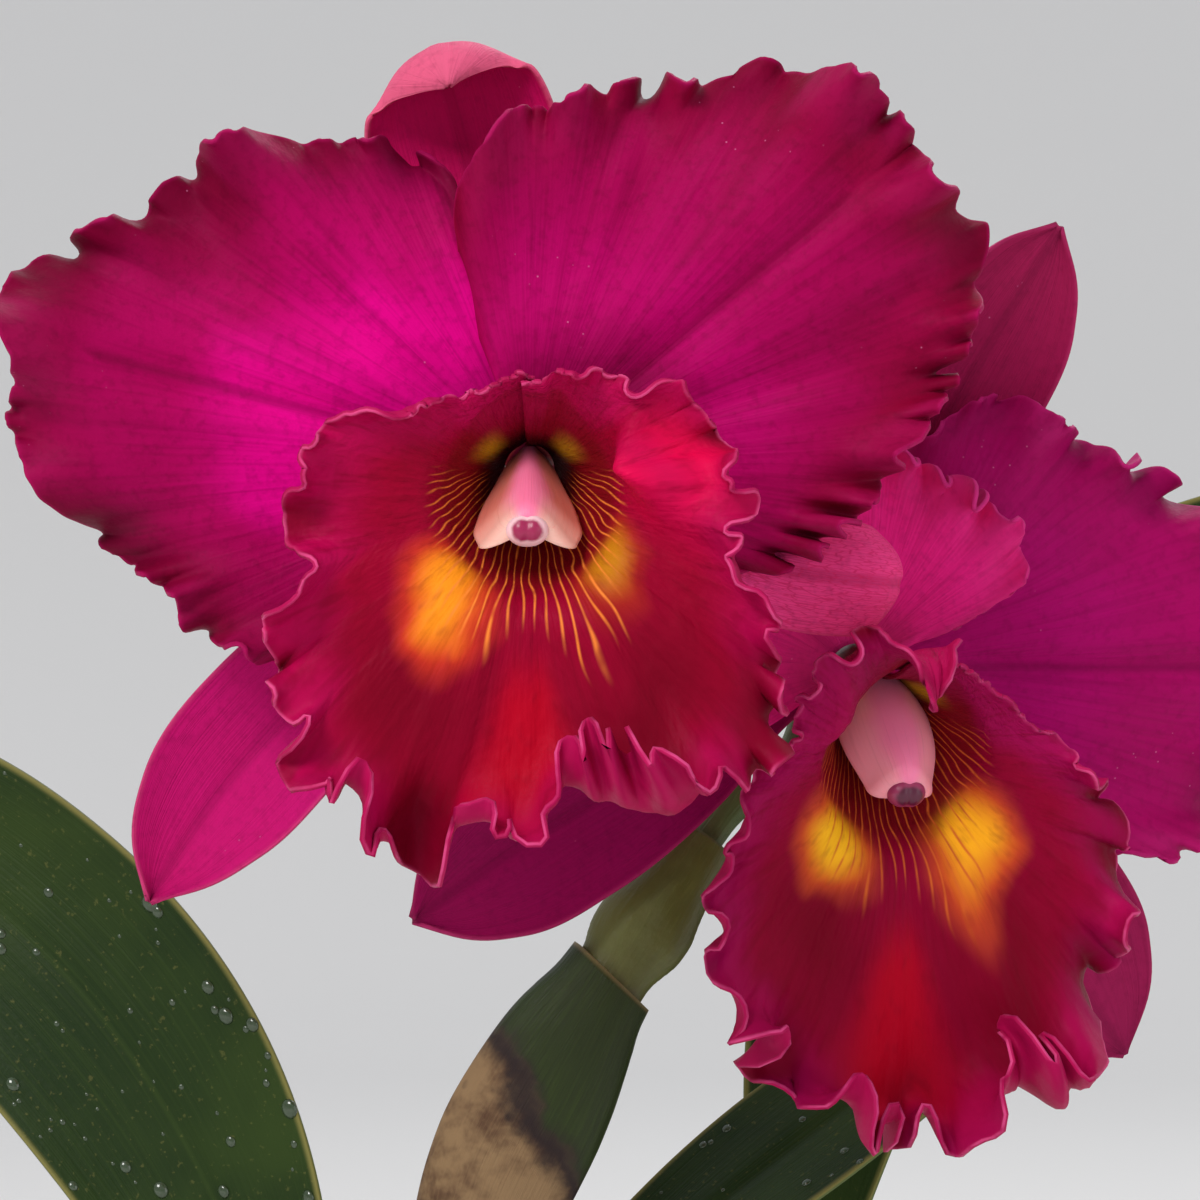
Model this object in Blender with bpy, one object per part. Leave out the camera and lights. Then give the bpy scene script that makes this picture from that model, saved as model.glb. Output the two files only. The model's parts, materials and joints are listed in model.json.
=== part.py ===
"""A potted cattleya orchid with two large ruffled blooms.

Metres and degrees, +Z up. The origin is at the centre of the pot's underside. Bloom A faces the front,
which is -Y, and bloom B stands behind it on the right. Each organ of the plant is one object.
"""

import math

import bmesh
import bpy
import numpy as np
from mathutils import Matrix, Vector

# Clearance between pieces that touch
GAP = 0.0003

# Clay pot, turned about the vertical axis
POT_HEIGHT = 0.110
POT_BASE_RADIUS = 0.0460
POT_NECK_RADIUS = 0.0600
POT_RIM_RADIUS = 0.0660
POT_RIM_HEIGHT = 0.024
POT_WALL = 0.0055
POT_FLOOR = 0.0080
POT_EDGE = 0.0012
POT_SIDES = 32
DRAIN_HOLES = 4
DRAIN_RADIUS = 0.0050
DRAIN_CIRCLE = 0.0240

# Bark: a filled bed with chips that stand out of its top
BARK_TOP = 0.0920
CHIP_COUNT = 40
CHIP_LENGTH = (0.0150, 0.0230)
CHIP_WIDTH = (0.0090, 0.0130)
CHIP_STAND = (0.0005, 0.0035)
CHIP_ROOT_Z = 0.0800
CHIP_TILT = 12.0
GOLDEN_ANGLE = 137.508
CHIP_SEED = 7

# Rhizome, which creeps over the bark from the oldest bulb to the growing tip
RHIZOME_PATH = (
    (0.0480, 0.0165, 0.0960),
    (0.0420, 0.0180, 0.0970),
    (0.0200, 0.0190, 0.0970),
    (-0.0020, 0.0115, 0.0970),
    (-0.0260, 0.0030, 0.0970),
    (-0.0400, -0.0030, 0.0990),
)
RHIZOME_RADIUS = 0.0052
ROOT_RADIUS = 0.0023
ROOT_PATHS = (
    ((-0.028, 0.000, 0.097), (-0.031, -0.014, 0.0985), (-0.036, -0.027, 0.095), (-0.039, -0.034, 0.084)),
    ((-0.010, 0.006, 0.096), (-0.008, -0.010, 0.0985), (-0.002, -0.026, 0.096), (0.003, -0.040, 0.084)),
    ((0.014, 0.015, 0.096), (0.021, 0.002, 0.0985), (0.030, -0.012, 0.097), (0.036, -0.026, 0.084)),
    ((-0.012, 0.010, 0.096), (-0.021, 0.021, 0.0985), (-0.030, 0.031, 0.096), (-0.035, 0.036, 0.084)),
    ((0.010, 0.018, 0.096), (0.010, 0.032, 0.0985), (0.006, 0.042, 0.095), (0.003, 0.047, 0.084)),
)
KNOB_RADIUS = 0.0058
KNOB_FOOT = 0.0960
KNOB_TOP = 0.1035

# Pseudobulbs: base and apex of each, and how far it has swollen
BULB_BASE_Z = KNOB_TOP + GAP
BULBS = {
    "pseudobulb_flowering": ((-0.0020, 0.0115), (-0.0100, 0.0150, 0.2320), 0.0118),
    "pseudobulb_left": ((-0.0260, 0.0030), (-0.0340, -0.0010, 0.2140), 0.0112),
    "pseudobulb_right": ((0.0200, 0.0190), (0.0490, 0.0690, 0.2240), 0.0114),
    "pseudobulb_old": ((0.0420, 0.0180), (0.0520, 0.0140, 0.1660), 0.0096),
}
BULB_PROFILE = ((0.0, 0.46), (0.12, 0.52), (0.35, 0.80), (0.60, 1.0), (0.82, 0.86), (0.94, 0.58), (1.0, 0.44))
BULB_RIB = 0.06
BULB_RIBS = 6

# Leaves: base, first heading, the way the upper face looks, length, width, rise along it and turn
LEAF_THICKNESS = 0.0020
LEAVES = {
    "leaf_left": {
        "base": (-0.0342, -0.0010, 0.2149),
        "heading": (-0.22, 0.02, 0.97),
        "facing": (-0.10, -1.0, 0.10),
        "length": 0.182,
        "half_width": 0.0235,
        "pitch": ((0.0, 0.0), (0.5, -6.0), (1.0, -20.0)),
        "turn": ((0.0, 0.0), (0.3, 12.0), (0.6, 34.0), (1.0, 62.0)),
    },
    "leaf_flowering": {
        "base": (-0.0060, 0.0190, 0.2336),
        "heading": (0.78, 0.33, 0.46),
        "facing": (-0.50, -0.60, 0.62),
        "length": 0.140,
        "half_width": 0.0160,
        "pitch": ((0.0, 0.0), (0.4, 8.0), (1.0, -10.0)),
        "turn": ((0.0, 0.0), (1.0, 0.0)),
    },
    "leaf_right": {
        "base": (0.0493, 0.0704, 0.2259),
        "heading": (0.04, 0.06, 0.99),
        "facing": (-0.10, -1.0, 0.10),
        "length": 0.214,
        "half_width": 0.0215,
        "pitch": ((0.0, 0.0), (0.5, -2.0), (1.0, -10.0)),
        "turn": ((0.0, 0.0), (0.3, -12.0), (0.6, -42.0), (1.0, -66.0)),
    },
}
LEAF_CUP = ((0.0, 62.0), (0.15, 48.0), (0.35, 26.0), (1.0, 18.0))

# Flower stem, its sheath and its bract
STEM_PATH = (
    (-0.0105, 0.0120, 0.2330),
    (-0.0100, 0.0105, 0.2480),
    (-0.0050, 0.0085, 0.2680),
    (0.0050, 0.0080, 0.2880),
    (0.0160, 0.0085, 0.3060),
    (0.0270, 0.0110, 0.3220),
    (0.0385, 0.0150, 0.3380),
)
STEM_RADIUS = 0.0031
SHEATH_WALL = 0.0010
SHEATH_ENDS = (0.02, 0.66)
SHEATH_WIDTH = (
    (0.0, 0.0062), (0.12, 0.0080), (0.40, 0.0116), (0.62, 0.0126), (0.85, 0.0106), (0.95, 0.0087), (1.0, 0.0083),
)
SHEATH_DEPTH = ((0.0, 0.0054), (0.3, 0.0060), (0.7, 0.0066), (1.0, 0.0062))
BRACT_ENDS = (0.64, 0.90)
BRACT_WIDTH = ((0.0, 0.0064), (0.10, 0.0064), (0.35, 0.0080), (0.65, 0.0068), (1.0, 0.0056))
BRACT_DEPTH = ((0.0, 0.0046), (0.12, 0.0046), (0.5, 0.0056), (1.0, 0.0056))

# Pedicels with their ovaries, from the fork to the back of each bloom
PEDICEL_RADIUS = ((0.0, 0.0022), (0.45, 0.0022), (0.75, 0.0032), (0.95, 0.0036), (1.0, 0.0034))

# Blooms: the place of each, its yaw to the right and its nod, and the nod and yaw of its lip
BLOOM_PLACE = {"a": (0.0022, -0.0400, 0.3919), "b": (0.0570, -0.0040, 0.3580)}
WHORL_TURN = {"a": (0.0, 0.0), "b": (16.0, 10.0)}
LIP_TURN = {"a": (0.0, 0.0), "b": (20.0, 21.0)}
PEDICEL_PATHS = {
    "a": ((0.0362, 0.0160, 0.3408), (0.0340, 0.0180, 0.3560), (0.0240, 0.0140, 0.3740), (0.0090, 0.0020, 0.3880)),
    "b": ((0.0422, 0.0170, 0.3380), (0.0470, 0.0235, 0.3440), (0.0505, 0.0275, 0.3540)),
}

# Sepals and petals are 0.8 mm thick and start at the foot of the column
TEPAL_THICKNESS = 0.0008
LIP_THICKNESS = 0.0008
FOOT_RADIUS = 0.0040
FOOT_BACK = -0.0075
CLAW = FOOT_RADIUS + GAP + 0.0003

# Sepals: heading from the bloom's centre, length, half width, depth at the foot, rise and turn along it
SEPALS = {
    "a_sepal_dorsal": {
        "heading": 99.0,
        "length": 0.0850,
        "half_width": 0.0168,
        "pitch": ((0.0, -24.0), (0.25, -14.0), (0.66, 2.0), (0.76, 30.0), (0.86, 100.0), (1.0, 150.0)),
        "turn": ((0.0, 0.0), (1.0, 10.0)),
        "cup": ((0.0, 20.0), (0.6, 24.0), (1.0, 30.0)),
        "peak": 0.56,
    },
    "a_sepal_left": {
        "heading": 226.5,
        "length": 0.0925,
        "half_width": 0.0140,
        "pitch": ((0.0, -18.0), (0.4, -8.0), (1.0, 8.0)),
        "turn": ((0.0, 0.0), (0.6, 0.0), (1.0, 16.0)),
        "cup": ((0.0, 20.0), (1.0, 22.0)),
        "peak": 0.60,
    },
    "a_sepal_right": {
        "heading": 334.0,
        "length": 0.0800,
        "half_width": 0.0112,
        "pitch": ((0.0, -16.0), (0.5, -4.0), (0.66, -8.0), (0.76, -70.0), (0.86, -140.0), (1.0, -165.0)),
        "turn": ((0.0, 0.0), (0.3, 4.0), (0.65, 20.0), (1.0, 20.0)),
        "cup": ((0.0, 10.0), (0.5, -12.0), (1.0, -20.0)),
        "peak": 0.66,
    },
    "b_sepal_dorsal": {
        "heading": 66.0,
        "length": 0.0800,
        "half_width": 0.0140,
        "pitch": ((0.0, -18.0), (0.4, -8.0), (1.0, 8.0)),
        "turn": ((0.0, 0.0), (1.0, -4.0)),
        "cup": ((0.0, 20.0), (1.0, 24.0)),
        "peak": 0.60,
    },
    "b_sepal_left": {
        "heading": 209.5,
        "length": 0.0815,
        "half_width": 0.0155,
        "pitch": ((0.0, -14.0), (0.4, -6.0), (1.0, 6.0)),
        "turn": ((0.0, 0.0), (1.0, 4.0)),
        "cup": ((0.0, 20.0), (1.0, 22.0)),
        "peak": 0.60,
    },
    "b_sepal_right": {
        "heading": 311.0,
        "length": 0.0880,
        "half_width": 0.0170,
        "pitch": ((0.0, -16.0), (0.4, -6.0), (1.0, 6.0)),
        "turn": ((0.0, 0.0), (1.0, -6.0)),
        "cup": ((0.0, 20.0), (1.0, 20.0)),
        "peak": 0.62,
    },
}
SEPAL_DEPTH = -0.0052

# Petals: outline as angle and reach round the bloom's centre, the midvein's angle, the rise along each
# ray, and frills as waves per turn, phase, swing and the share of the reach where they begin
PETALS = {
    "a_petal_left": {
        "outline": (
            (104, 0.046), (112, 0.057), (122, 0.062), (135, 0.0735), (146, 0.0750), (156, 0.0860),
            (164, 0.0895), (169, 0.0850), (177, 0.0848), (187, 0.0750), (197, 0.0645), (208, 0.0600),
            (217, 0.0540), (225, 0.0440), (234, 0.0240),
        ),
        "depth": -0.0028,
        "midvein": 166.0,
        "pitch": ((0.0, 10.0), (0.3, 8.0), (0.7, -2.0), (1.0, -10.0)),
        "frills": ((22.0, 40.0, 40.0, 0.55), (9.0, 0.0, 12.0, 0.25)),
        "folds": ((112.0, 9.0, -14.0, 0.3),),
    },
    "a_petal_right": {
        "outline": (
            (-32, 0.022), (-27, 0.038), (-20, 0.0460), (-11, 0.0530), (2, 0.0620), (11, 0.0700),
            (20, 0.0785), (28, 0.0825), (38, 0.0800), (48, 0.0825), (58, 0.0755), (66, 0.0690),
            (76, 0.0640), (86, 0.0580), (94, 0.0560), (101, 0.0490), (108, 0.0390), (111, 0.0270),
        ),
        "depth": -0.0012,
        "midvein": 40.0,
        "pitch": ((0.0, 26.0), (0.3, 12.0), (0.7, -2.0), (1.0, -10.0)),
        "frills": ((23.0, 10.0, 40.0, 0.55), (8.0, 90.0, 12.0, 0.25)),
        "folds": ((104.0, 10.0, 18.0, 0.2),),
    },
    "b_petal_left": {
        "outline": (
            (26, 0.0180), (34, 0.0300), (42, 0.0335), (58, 0.0365), (80, 0.0385), (98, 0.0450),
            (118, 0.0540), (138, 0.0560), (158, 0.0520), (178, 0.0470), (196, 0.0420), (210, 0.0300),
        ),
        "depth": -0.0012,
        "midvein": 140.0,
        "pitch": ((0.0, 14.0), (0.3, 8.0), (0.7, -2.0), (1.0, -10.0)),
        "frills": ((22.0, 60.0, 36.0, 0.55), (7.0, 0.0, 10.0, 0.25)),
        "folds": ((42.0, 34.0, 30.0, -0.6),),
    },
    "b_petal_right": {
        "outline": (
            (-48, 0.0240), (-40, 0.0460), (-33, 0.0600), (-27, 0.0715), (-14, 0.0780), (0, 0.0830),
            (12, 0.0800), (24, 0.0690), (33, 0.0640), (39, 0.0600), (44, 0.0570), (55, 0.0550),
            (65, 0.0505), (74, 0.0400), (84, 0.0260),
        ),
        "depth": -0.0030,
        "midvein": 0.0,
        "pitch": ((0.0, 4.0), (0.3, 4.0), (0.7, -3.0), (1.0, -8.0)),
        "frills": ((22.0, 0.0, 36.0, 0.55), (8.0, 20.0, 10.0, 0.25)),
        "folds": ((68.0, 14.0, -16.0, 0.3),),
    },
}

# Lips: a tube round the column that opens into a ruffled limb. The outline is round the throat's centre
LIP_FOOT_RADIUS = 0.0056
LIP_FOOT_DEPTH = 0.0016
THROAT_DEPTH = 0.0235
THROAT_DROP = 0.0055
TUBE_SHARE = 0.34
TUBE_PROFILE = ((0.0, 0.0), (0.35, 0.20), (0.70, 0.58), (1.0, 1.0))
THROAT_RADIUS = ((90, 0.0165), (130, 0.0150), (180, 0.0148), (270, 0.0152), (360, 0.0148), (410, 0.0150), (450, 0.0165))
LIMB_BEND = 0.22
LIPS = {
    "a_lip": {
        "outline": (
            (92, 0.0188), (110, 0.0180), (131, 0.0205), (146, 0.0265), (158, 0.0325), (174, 0.0372),
            (188, 0.0385), (199, 0.0375), (206, 0.0440), (217, 0.0490), (228, 0.0545), (240, 0.0590),
            (251, 0.0605), (262, 0.0550), (273, 0.0520), (285, 0.0530), (295, 0.0570), (307, 0.0540),
            (318, 0.0500), (331, 0.0440), (347, 0.0385), (361, 0.0352), (379, 0.0315), (391, 0.0300),
            (405, 0.0245), (415, 0.0232), (430, 0.0205), (448, 0.0185),
        ),
        "pitch": ((90, 58), (130, 40), (170, 16), (220, 6), (270, 2), (320, 6), (370, 16), (410, 40), (450, 58)),
        "frills": ((11.0, 30.0, 34.0, 0.45), (5.0, 100.0, 10.0, 0.2)),
        "folds": ((296.0, 12.0, 40.0, 0.40), (352.0, 14.0, 24.0, 0.35)),
    },
    "b_lip": {
        "outline": (
            (92, 0.0190), (112, 0.0200), (126, 0.0230), (137, 0.0270), (152, 0.0250), (180, 0.0250),
            (194, 0.0320), (207, 0.0395), (216, 0.0440), (226, 0.0475), (240, 0.0530), (250, 0.0570),
            (260, 0.0600), (268, 0.0625), (277, 0.0650), (285, 0.0660), (294, 0.0640), (304, 0.0600),
            (312, 0.0560), (321, 0.0515), (331, 0.0460), (341, 0.0430), (350, 0.0375),
            (362, 0.0300), (374, 0.0235), (388, 0.0200), (403, 0.0185), (420, 0.0180), (448, 0.0190),
        ),
        "pitch": ((90, 50), (130, 30), (170, 14), (220, 14), (270, 18), (320, 14), (370, 16), (410, 40), (450, 52)),
        "frills": ((11.0, 80.0, 34.0, 0.50), (5.0, 10.0, 10.0, 0.2)),
        "folds": ((300.0, 12.0, 36.0, 0.55),),
    },
}

# Column: the places and half sizes of its sections in the lip's frame, and the anther cap at its tip
COLUMN_AXIS = ((0.0, 0.0), (0.0060, -0.0004), (0.0130, -0.0026), (0.0200, -0.0062), (0.0252, -0.0096))
COLUMN_WIDTH = ((0.0, 0.0038), (0.30, 0.0040), (0.60, 0.0060), (0.85, 0.0082), (1.0, 0.0088))
COLUMN_DEPTH = ((0.0, 0.0036), (0.25, 0.0036), (0.60, 0.0036), (1.0, 0.0034))
COLUMN_DROOP = ((0.0, 0.0), (0.30, 0.0), (0.60, 0.0015), (1.0, 0.0042))
COLUMN_TIP = 0.0022
ANTHER_PLACE = (0.0270, -0.0122)
ANTHER_SIZE = (0.0034, 0.0026, 0.0026)

# How finely each solid is divided
PETAL_GRID = (6, 32)
LIP_ROWS = (0, 8, 16, 24, 32, 42, 52, 60, 68, 76)
LIP_COLUMNS = 48
SEPAL_GRID = (14, 4)
LEAF_GRID = (12, 4)
FINE = 76


def clear_scene():
    """Take every object out of the scene that the script starts in."""
    for obj in list(bpy.data.objects):
        bpy.data.objects.remove(obj, do_unlink=True)


def material(name, colour, roughness):
    """A Principled material of one colour, which is not metallic."""
    made = bpy.data.materials.new(name)
    made.use_nodes = True
    shader = made.node_tree.nodes["Principled BSDF"]
    shader.inputs["Base Color"].default_value = (*colour, 1.0)
    shader.inputs["Roughness"].default_value = roughness
    shader.inputs["Metallic"].default_value = 0.0
    return made


def ease(low, high, x):
    """0 below low and 1 above high, with a smooth S between them."""
    t = np.clip((x - low) / (high - low), 0.0, 1.0)
    return t * t * (3.0 - 2.0 * t)


def through(points, x):
    """The smooth curve through (x, y) points: cubic pieces that share a slope where they meet."""
    px, py = np.array(points, float).T
    slope = np.gradient(py, px)
    i = np.clip(np.searchsorted(px, x, side="right") - 1, 0, len(px) - 2)
    h = px[i + 1] - px[i]
    t = np.clip((x - px[i]) / h, 0.0, 1.0)
    start = (2 * t**3 - 3 * t**2 + 1) * py[i] + (t**3 - 2 * t**2 + t) * h * slope[i]
    end = (3 * t**2 - 2 * t**3) * py[i + 1] + (t**3 - t**2) * h * slope[i + 1]
    return start + end


def running_sum(values, s):
    """The integral of values along their first axis, whose places are s, from zero at the start."""
    steps = (values[1:] + values[:-1]) / 2 * np.diff(s)[:, None]
    return np.concatenate([np.zeros((1, values.shape[1])), np.cumsum(steps, axis=0)])


def unit(vector):
    """The vector at length 1."""
    vector = np.array(vector, float)
    return vector / np.linalg.norm(vector)


def turned_frame(yaw, nod):
    """Columns right, up and front of a bloom that faces -Y, then yaws to the right and nods."""
    yaw, nod = math.radians(yaw), math.radians(nod)
    front = np.array([math.sin(yaw) * math.cos(nod), -math.cos(yaw) * math.cos(nod), -math.sin(nod)])
    right = np.array([math.cos(yaw), math.sin(yaw), 0.0])
    return np.stack([right, np.cross(front, right), front], axis=1)


def placed(points, place, turn):
    """Points of a bloom's own frame, moved to the bloom's place in the plant."""
    return points @ turned_frame(*turn).T + np.array(place)


def ray_grid(columns, along):
    """Ray angles across a petal and the fine steps along each ray, as (steps, angles) in radians."""
    return np.linspace(0.0, 1.0, along + 1), np.radians(columns)


def swing(s, angle, frills, folds):
    """The extra rise of a frilled blade in radians: waves that grow to the margin, and single folds."""
    total = np.zeros((len(s), len(angle)))
    for waves, phase, degrees, start in frills:
        total += np.outer(ease(start, 1.0, s), np.sin(waves * angle + math.radians(phase))) * degrees
    for centre, width, degrees, start in folds:
        bump = np.exp(-(((np.degrees(angle) - centre) / width) ** 2))
        total += np.outer(ease(start, 1.0, s), bump) * degrees
    return np.radians(total)


def petal_surface(spec, rows, columns):
    """A petal's middle surface in the bloom's frame.

    Each ray leaves the claw at its own angle and rises and falls by its pitch, summed along the ray and
    scaled so that it ends on the outline. A furrow runs along the midvein.
    """
    degrees = np.linspace(spec["outline"][0][0], spec["outline"][-1][0], columns + 1)
    s, angle = ray_grid(degrees, FINE)
    pitch = np.radians(through(spec["pitch"], s))[:, None] + swing(s, angle, spec["frills"], spec["folds"])
    out, up = running_sum(np.cos(pitch), s), running_sum(np.sin(pitch), s)
    scale = (through(spec["outline"], degrees) - CLAW) / out[-1]
    reach = CLAW + out * scale
    off_vein = reach * np.sin(angle - math.radians(spec["midvein"]))
    furrow = 0.0022 * np.exp(-((off_vein / 0.0035) ** 2)) * (ease(0.05, 0.3, s) - ease(0.7, 1.0, s))[:, None]
    height = spec["depth"] + up * scale - furrow
    keep = np.round(FINE * (np.linspace(0.0, 1.0, rows + 1) ** 0.8)).astype(int)
    return np.stack([reach * np.cos(angle), reach * np.sin(angle), height], axis=-1)[keep]


def lip_surface(spec, rows, columns):
    """A lip's middle surface in the lip's frame.

    The first share of each ray runs forward along the tube round the column, and the rest turns
    outwards into the limb, whose rise is summed along the ray and scaled to end on the outline.
    """
    degrees = np.linspace(spec["outline"][0][0], spec["outline"][-1][0], columns + 1)
    angle = np.radians(degrees)
    tube = np.linspace(0.0, 1.0, int(FINE * TUBE_SHARE) + 1)
    throat = through(THROAT_RADIUS, degrees)
    tube_reach = LIP_FOOT_RADIUS + np.outer(through(TUBE_PROFILE, tube), throat - LIP_FOOT_RADIUS)
    tube_depth = np.repeat((LIP_FOOT_DEPTH + tube * (THROAT_DEPTH - LIP_FOOT_DEPTH))[:, None], columns + 1, 1)
    q = np.linspace(0.0, 1.0, FINE - len(tube) + 2)
    level = through(spec["pitch"], degrees)
    bend = 1.0 - ease(0.0, LIMB_BEND, q)
    pitch = np.radians(level + np.outer(bend, 62.0 - level)) + swing(q, angle, spec["frills"], spec["folds"])
    out, up = running_sum(np.cos(pitch), q), running_sum(np.sin(pitch), q)
    scale = (through(spec["outline"], degrees) - throat) / out[-1]
    reach = np.concatenate([tube_reach, (throat + out * scale)[1:]])
    depth = np.concatenate([tube_depth, (THROAT_DEPTH + up * scale)[1:]])
    drop = THROAT_DROP * ease(-0.2, 1.0, np.minimum(depth / THROAT_DEPTH, 1.0))
    return np.stack([reach * np.cos(angle), reach * np.sin(angle) - drop, depth], axis=-1)[list(rows)]


def strap_surface(base, heading, facing, length, width, pitch, turn, cup, rows, columns):
    """A long blade's middle surface: a midline that rises and turns, with arcs across it.

    heading and facing are unit vectors. pitch lifts the midline towards facing and turn swings it
    sideways, both in degrees along it. width gives the half width along it, and cup the angle
    that each half of the arc across the blade bends through, given along it.
    """
    t = np.linspace(0.0, 1.0, FINE + 1)
    side = np.cross(facing, heading)
    rise, yaw = np.radians(through(pitch, t))[:, None], np.radians(through(turn, t))[:, None]
    flat = np.cos(yaw) * heading + np.sin(yaw) * side
    across = -np.sin(yaw) * heading + np.cos(yaw) * side
    forward = np.cos(rise) * flat + np.sin(rise) * facing
    normal = -np.sin(rise) * flat + np.cos(rise) * facing
    middle = base + length * running_sum(forward, t)
    x = np.linspace(-1.0, 1.0, columns + 1)[None, :, None]
    bend = np.radians(through(cup, t))[:, None, None] * x
    half = through(width, t)[:, None, None]
    spread = x * np.sinc(bend / math.pi) * across[:, None, :]
    lift = x * np.sin(bend / 2) * np.sinc(bend / 2 / math.pi) * normal[:, None, :]
    grid = middle[:, None, :] + half * (spread + lift)
    keep = np.round(np.linspace(0, FINE, rows + 1)).astype(int)
    return grid[keep]


def sepal_width(half_width, peak):
    """Half width along a sepal: a narrow claw, its widest place at peak, and a blunt tip."""
    return (
        (0.0, 0.0030), (0.10, 0.0044), (0.30, 0.72 * half_width), (peak, half_width),
        (0.82, 0.86 * half_width), (0.93, 0.50 * half_width), (1.0, 0.10 * half_width),
    )


def leaf_width(half_width):
    """Half width along a leaf: a folded stalk, a long even blade, and a rounded tip."""
    return (
        (0.0, 0.0052), (0.06, 0.0060), (0.18, 0.60 * half_width), (0.40, 0.95 * half_width),
        (0.62, half_width), (0.82, 0.78 * half_width), (0.94, 0.40 * half_width), (1.0, 0.06 * half_width),
    )


def add_object(name, mesh, finish):
    """Put a mesh into the scene as one object with one material."""
    mesh.materials.append(finish)
    obj = bpy.data.objects.new(name, mesh)
    bpy.context.scene.collection.objects.link(obj)
    return obj


def blade(name, grid, thickness, finish):
    """A thin solid: the grid's quads split into triangles, thickened alike on both faces."""
    rows, columns = grid.shape[:2]
    index = np.arange(rows * columns).reshape(rows, columns)
    a, b, c, d = index[:-1, :-1], index[:-1, 1:], index[1:, 1:], index[1:, :-1]
    faces = np.concatenate([np.stack([a, b, c], -1).reshape(-1, 3), np.stack([a, c, d], -1).reshape(-1, 3)])
    mesh = bpy.data.meshes.new(name)
    mesh.from_pydata(grid.reshape(-1, 3).tolist(), [], faces.tolist())
    mesh.shade_smooth()
    obj = add_object(name, mesh, finish)
    solid = obj.modifiers.new("Thickness", "SOLIDIFY")
    solid.thickness = thickness
    solid.offset = 0.0
    return obj


def loft_mesh(name, rings, closed_loop=False):
    """A closed mesh through rings of points, with a fan at each end or with its last ring joined to its first."""
    rings = np.asarray(rings)
    count, sides = rings.shape[:2]
    index = np.arange(count * sides).reshape(count, sides)
    if closed_loop:
        index = np.concatenate([index, index[:1]])
    following = np.roll(index, -1, axis=1)
    quads = np.stack([index[:-1], following[:-1], following[1:], index[1:]], -1).reshape(-1, 4).tolist()
    points = rings.reshape(-1, 3).tolist()
    faces = [tuple(quad) for quad in quads]
    if not closed_loop:
        points += [rings[0].mean(axis=0).tolist(), rings[-1].mean(axis=0).tolist()]
        first, last = count * sides, count * sides + 1
        for k in range(sides):
            following_k = (k + 1) % sides
            faces.append((first, following_k, k))
            faces.append((last, (count - 1) * sides + k, (count - 1) * sides + following_k))
    mesh = bpy.data.meshes.new(name)
    mesh.from_pydata(points, [], faces)
    shell = bmesh.new()
    shell.from_mesh(mesh)
    bmesh.ops.recalc_face_normals(shell, faces=shell.faces)
    bmesh.ops.triangulate(shell, faces=shell.faces)
    shell.to_mesh(mesh)
    shell.free()
    mesh.shade_smooth()
    mesh.set_sharp_from_angle(angle=math.radians(40.0))
    return mesh


def smooth_path(points, count):
    """count points, evenly spread by number, on the smooth curve through the given points."""
    points = np.array(points, float)
    knots = np.concatenate([[0.0], np.cumsum(np.linalg.norm(np.diff(points, axis=0), axis=1))])
    places = np.linspace(0.0, knots[-1], count)
    return np.stack([through(np.column_stack([knots, points[:, k]]), places) for k in range(3)], axis=1)


def carried_frames(path, first_side):
    """Unit tangents along a path, and a side vector carried along it with no twist."""
    tangents = np.gradient(path, axis=0)
    tangents /= np.linalg.norm(tangents, axis=1, keepdims=True)
    sides = []
    side = np.array(first_side, float)
    for tangent in tangents:
        side = unit(side - tangent * side.dot(tangent))
        sides.append(side)
    return tangents, np.array(sides)


def section_rings(path, first_side, half_width, half_depth, sides):
    """Elliptical rings along a path: half_width along the side vector and half_depth across it."""
    tangents, side = carried_frames(path, first_side)
    front = np.cross(tangents, side)
    angle = np.linspace(0.0, 2 * math.pi, sides, endpoint=False)
    wide = np.asarray(half_width)[:, None, None] * np.cos(angle)[None, :, None] * side[:, None, :]
    deep = np.asarray(half_depth)[:, None, None] * np.sin(angle)[None, :, None] * front[:, None, :]
    return path[:, None, :] + wide + deep


def tube_mesh(name, path, radii, sides):
    """A round closed tube along a path, whose radius is given at each point."""
    return loft_mesh(name, section_rings(path, (1.0, 0.13, 0.0), radii, radii, sides))


def turned_mesh(name, profile, sides):
    """A solid of revolution about Z, from (radius, z) points that start and end on the axis."""
    angle = np.linspace(0.0, 2 * math.pi, sides, endpoint=False)
    rings = [np.stack([r * np.cos(angle), r * np.sin(angle), np.full(sides, z)], axis=1) for r, z in profile]
    return loft_mesh(name, rings)


def helper(name, mesh):
    """An object that only serves a Boolean and is left out of the model."""
    obj = bpy.data.objects.new(name, mesh)
    bpy.context.scene.collection.objects.link(obj)
    obj.hide_render = True
    obj.display_type = "WIRE"
    return obj


def apply_boolean(obj, operation, others, solver="EXACT"):
    """Join or cut obj by other objects, keep the result in its mesh, and remove the others."""
    tools = bpy.data.collections.new(obj.name + "_tools")
    bpy.context.scene.collection.children.link(tools)
    for other in others:
        bpy.context.scene.collection.objects.unlink(other)
        tools.objects.link(other)
    change = obj.modifiers.new(operation.title(), "BOOLEAN")
    change.operation = operation
    change.operand_type = "COLLECTION"
    change.collection = tools
    change.solver = solver
    graph = bpy.context.evaluated_depsgraph_get()
    result = bpy.data.meshes.new_from_object(obj.evaluated_get(graph))
    obj.modifiers.clear()
    result.name = obj.data.name
    obj.data = result
    for other in others:
        bpy.data.objects.remove(other, do_unlink=True)
    bpy.data.collections.remove(tools)


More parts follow.
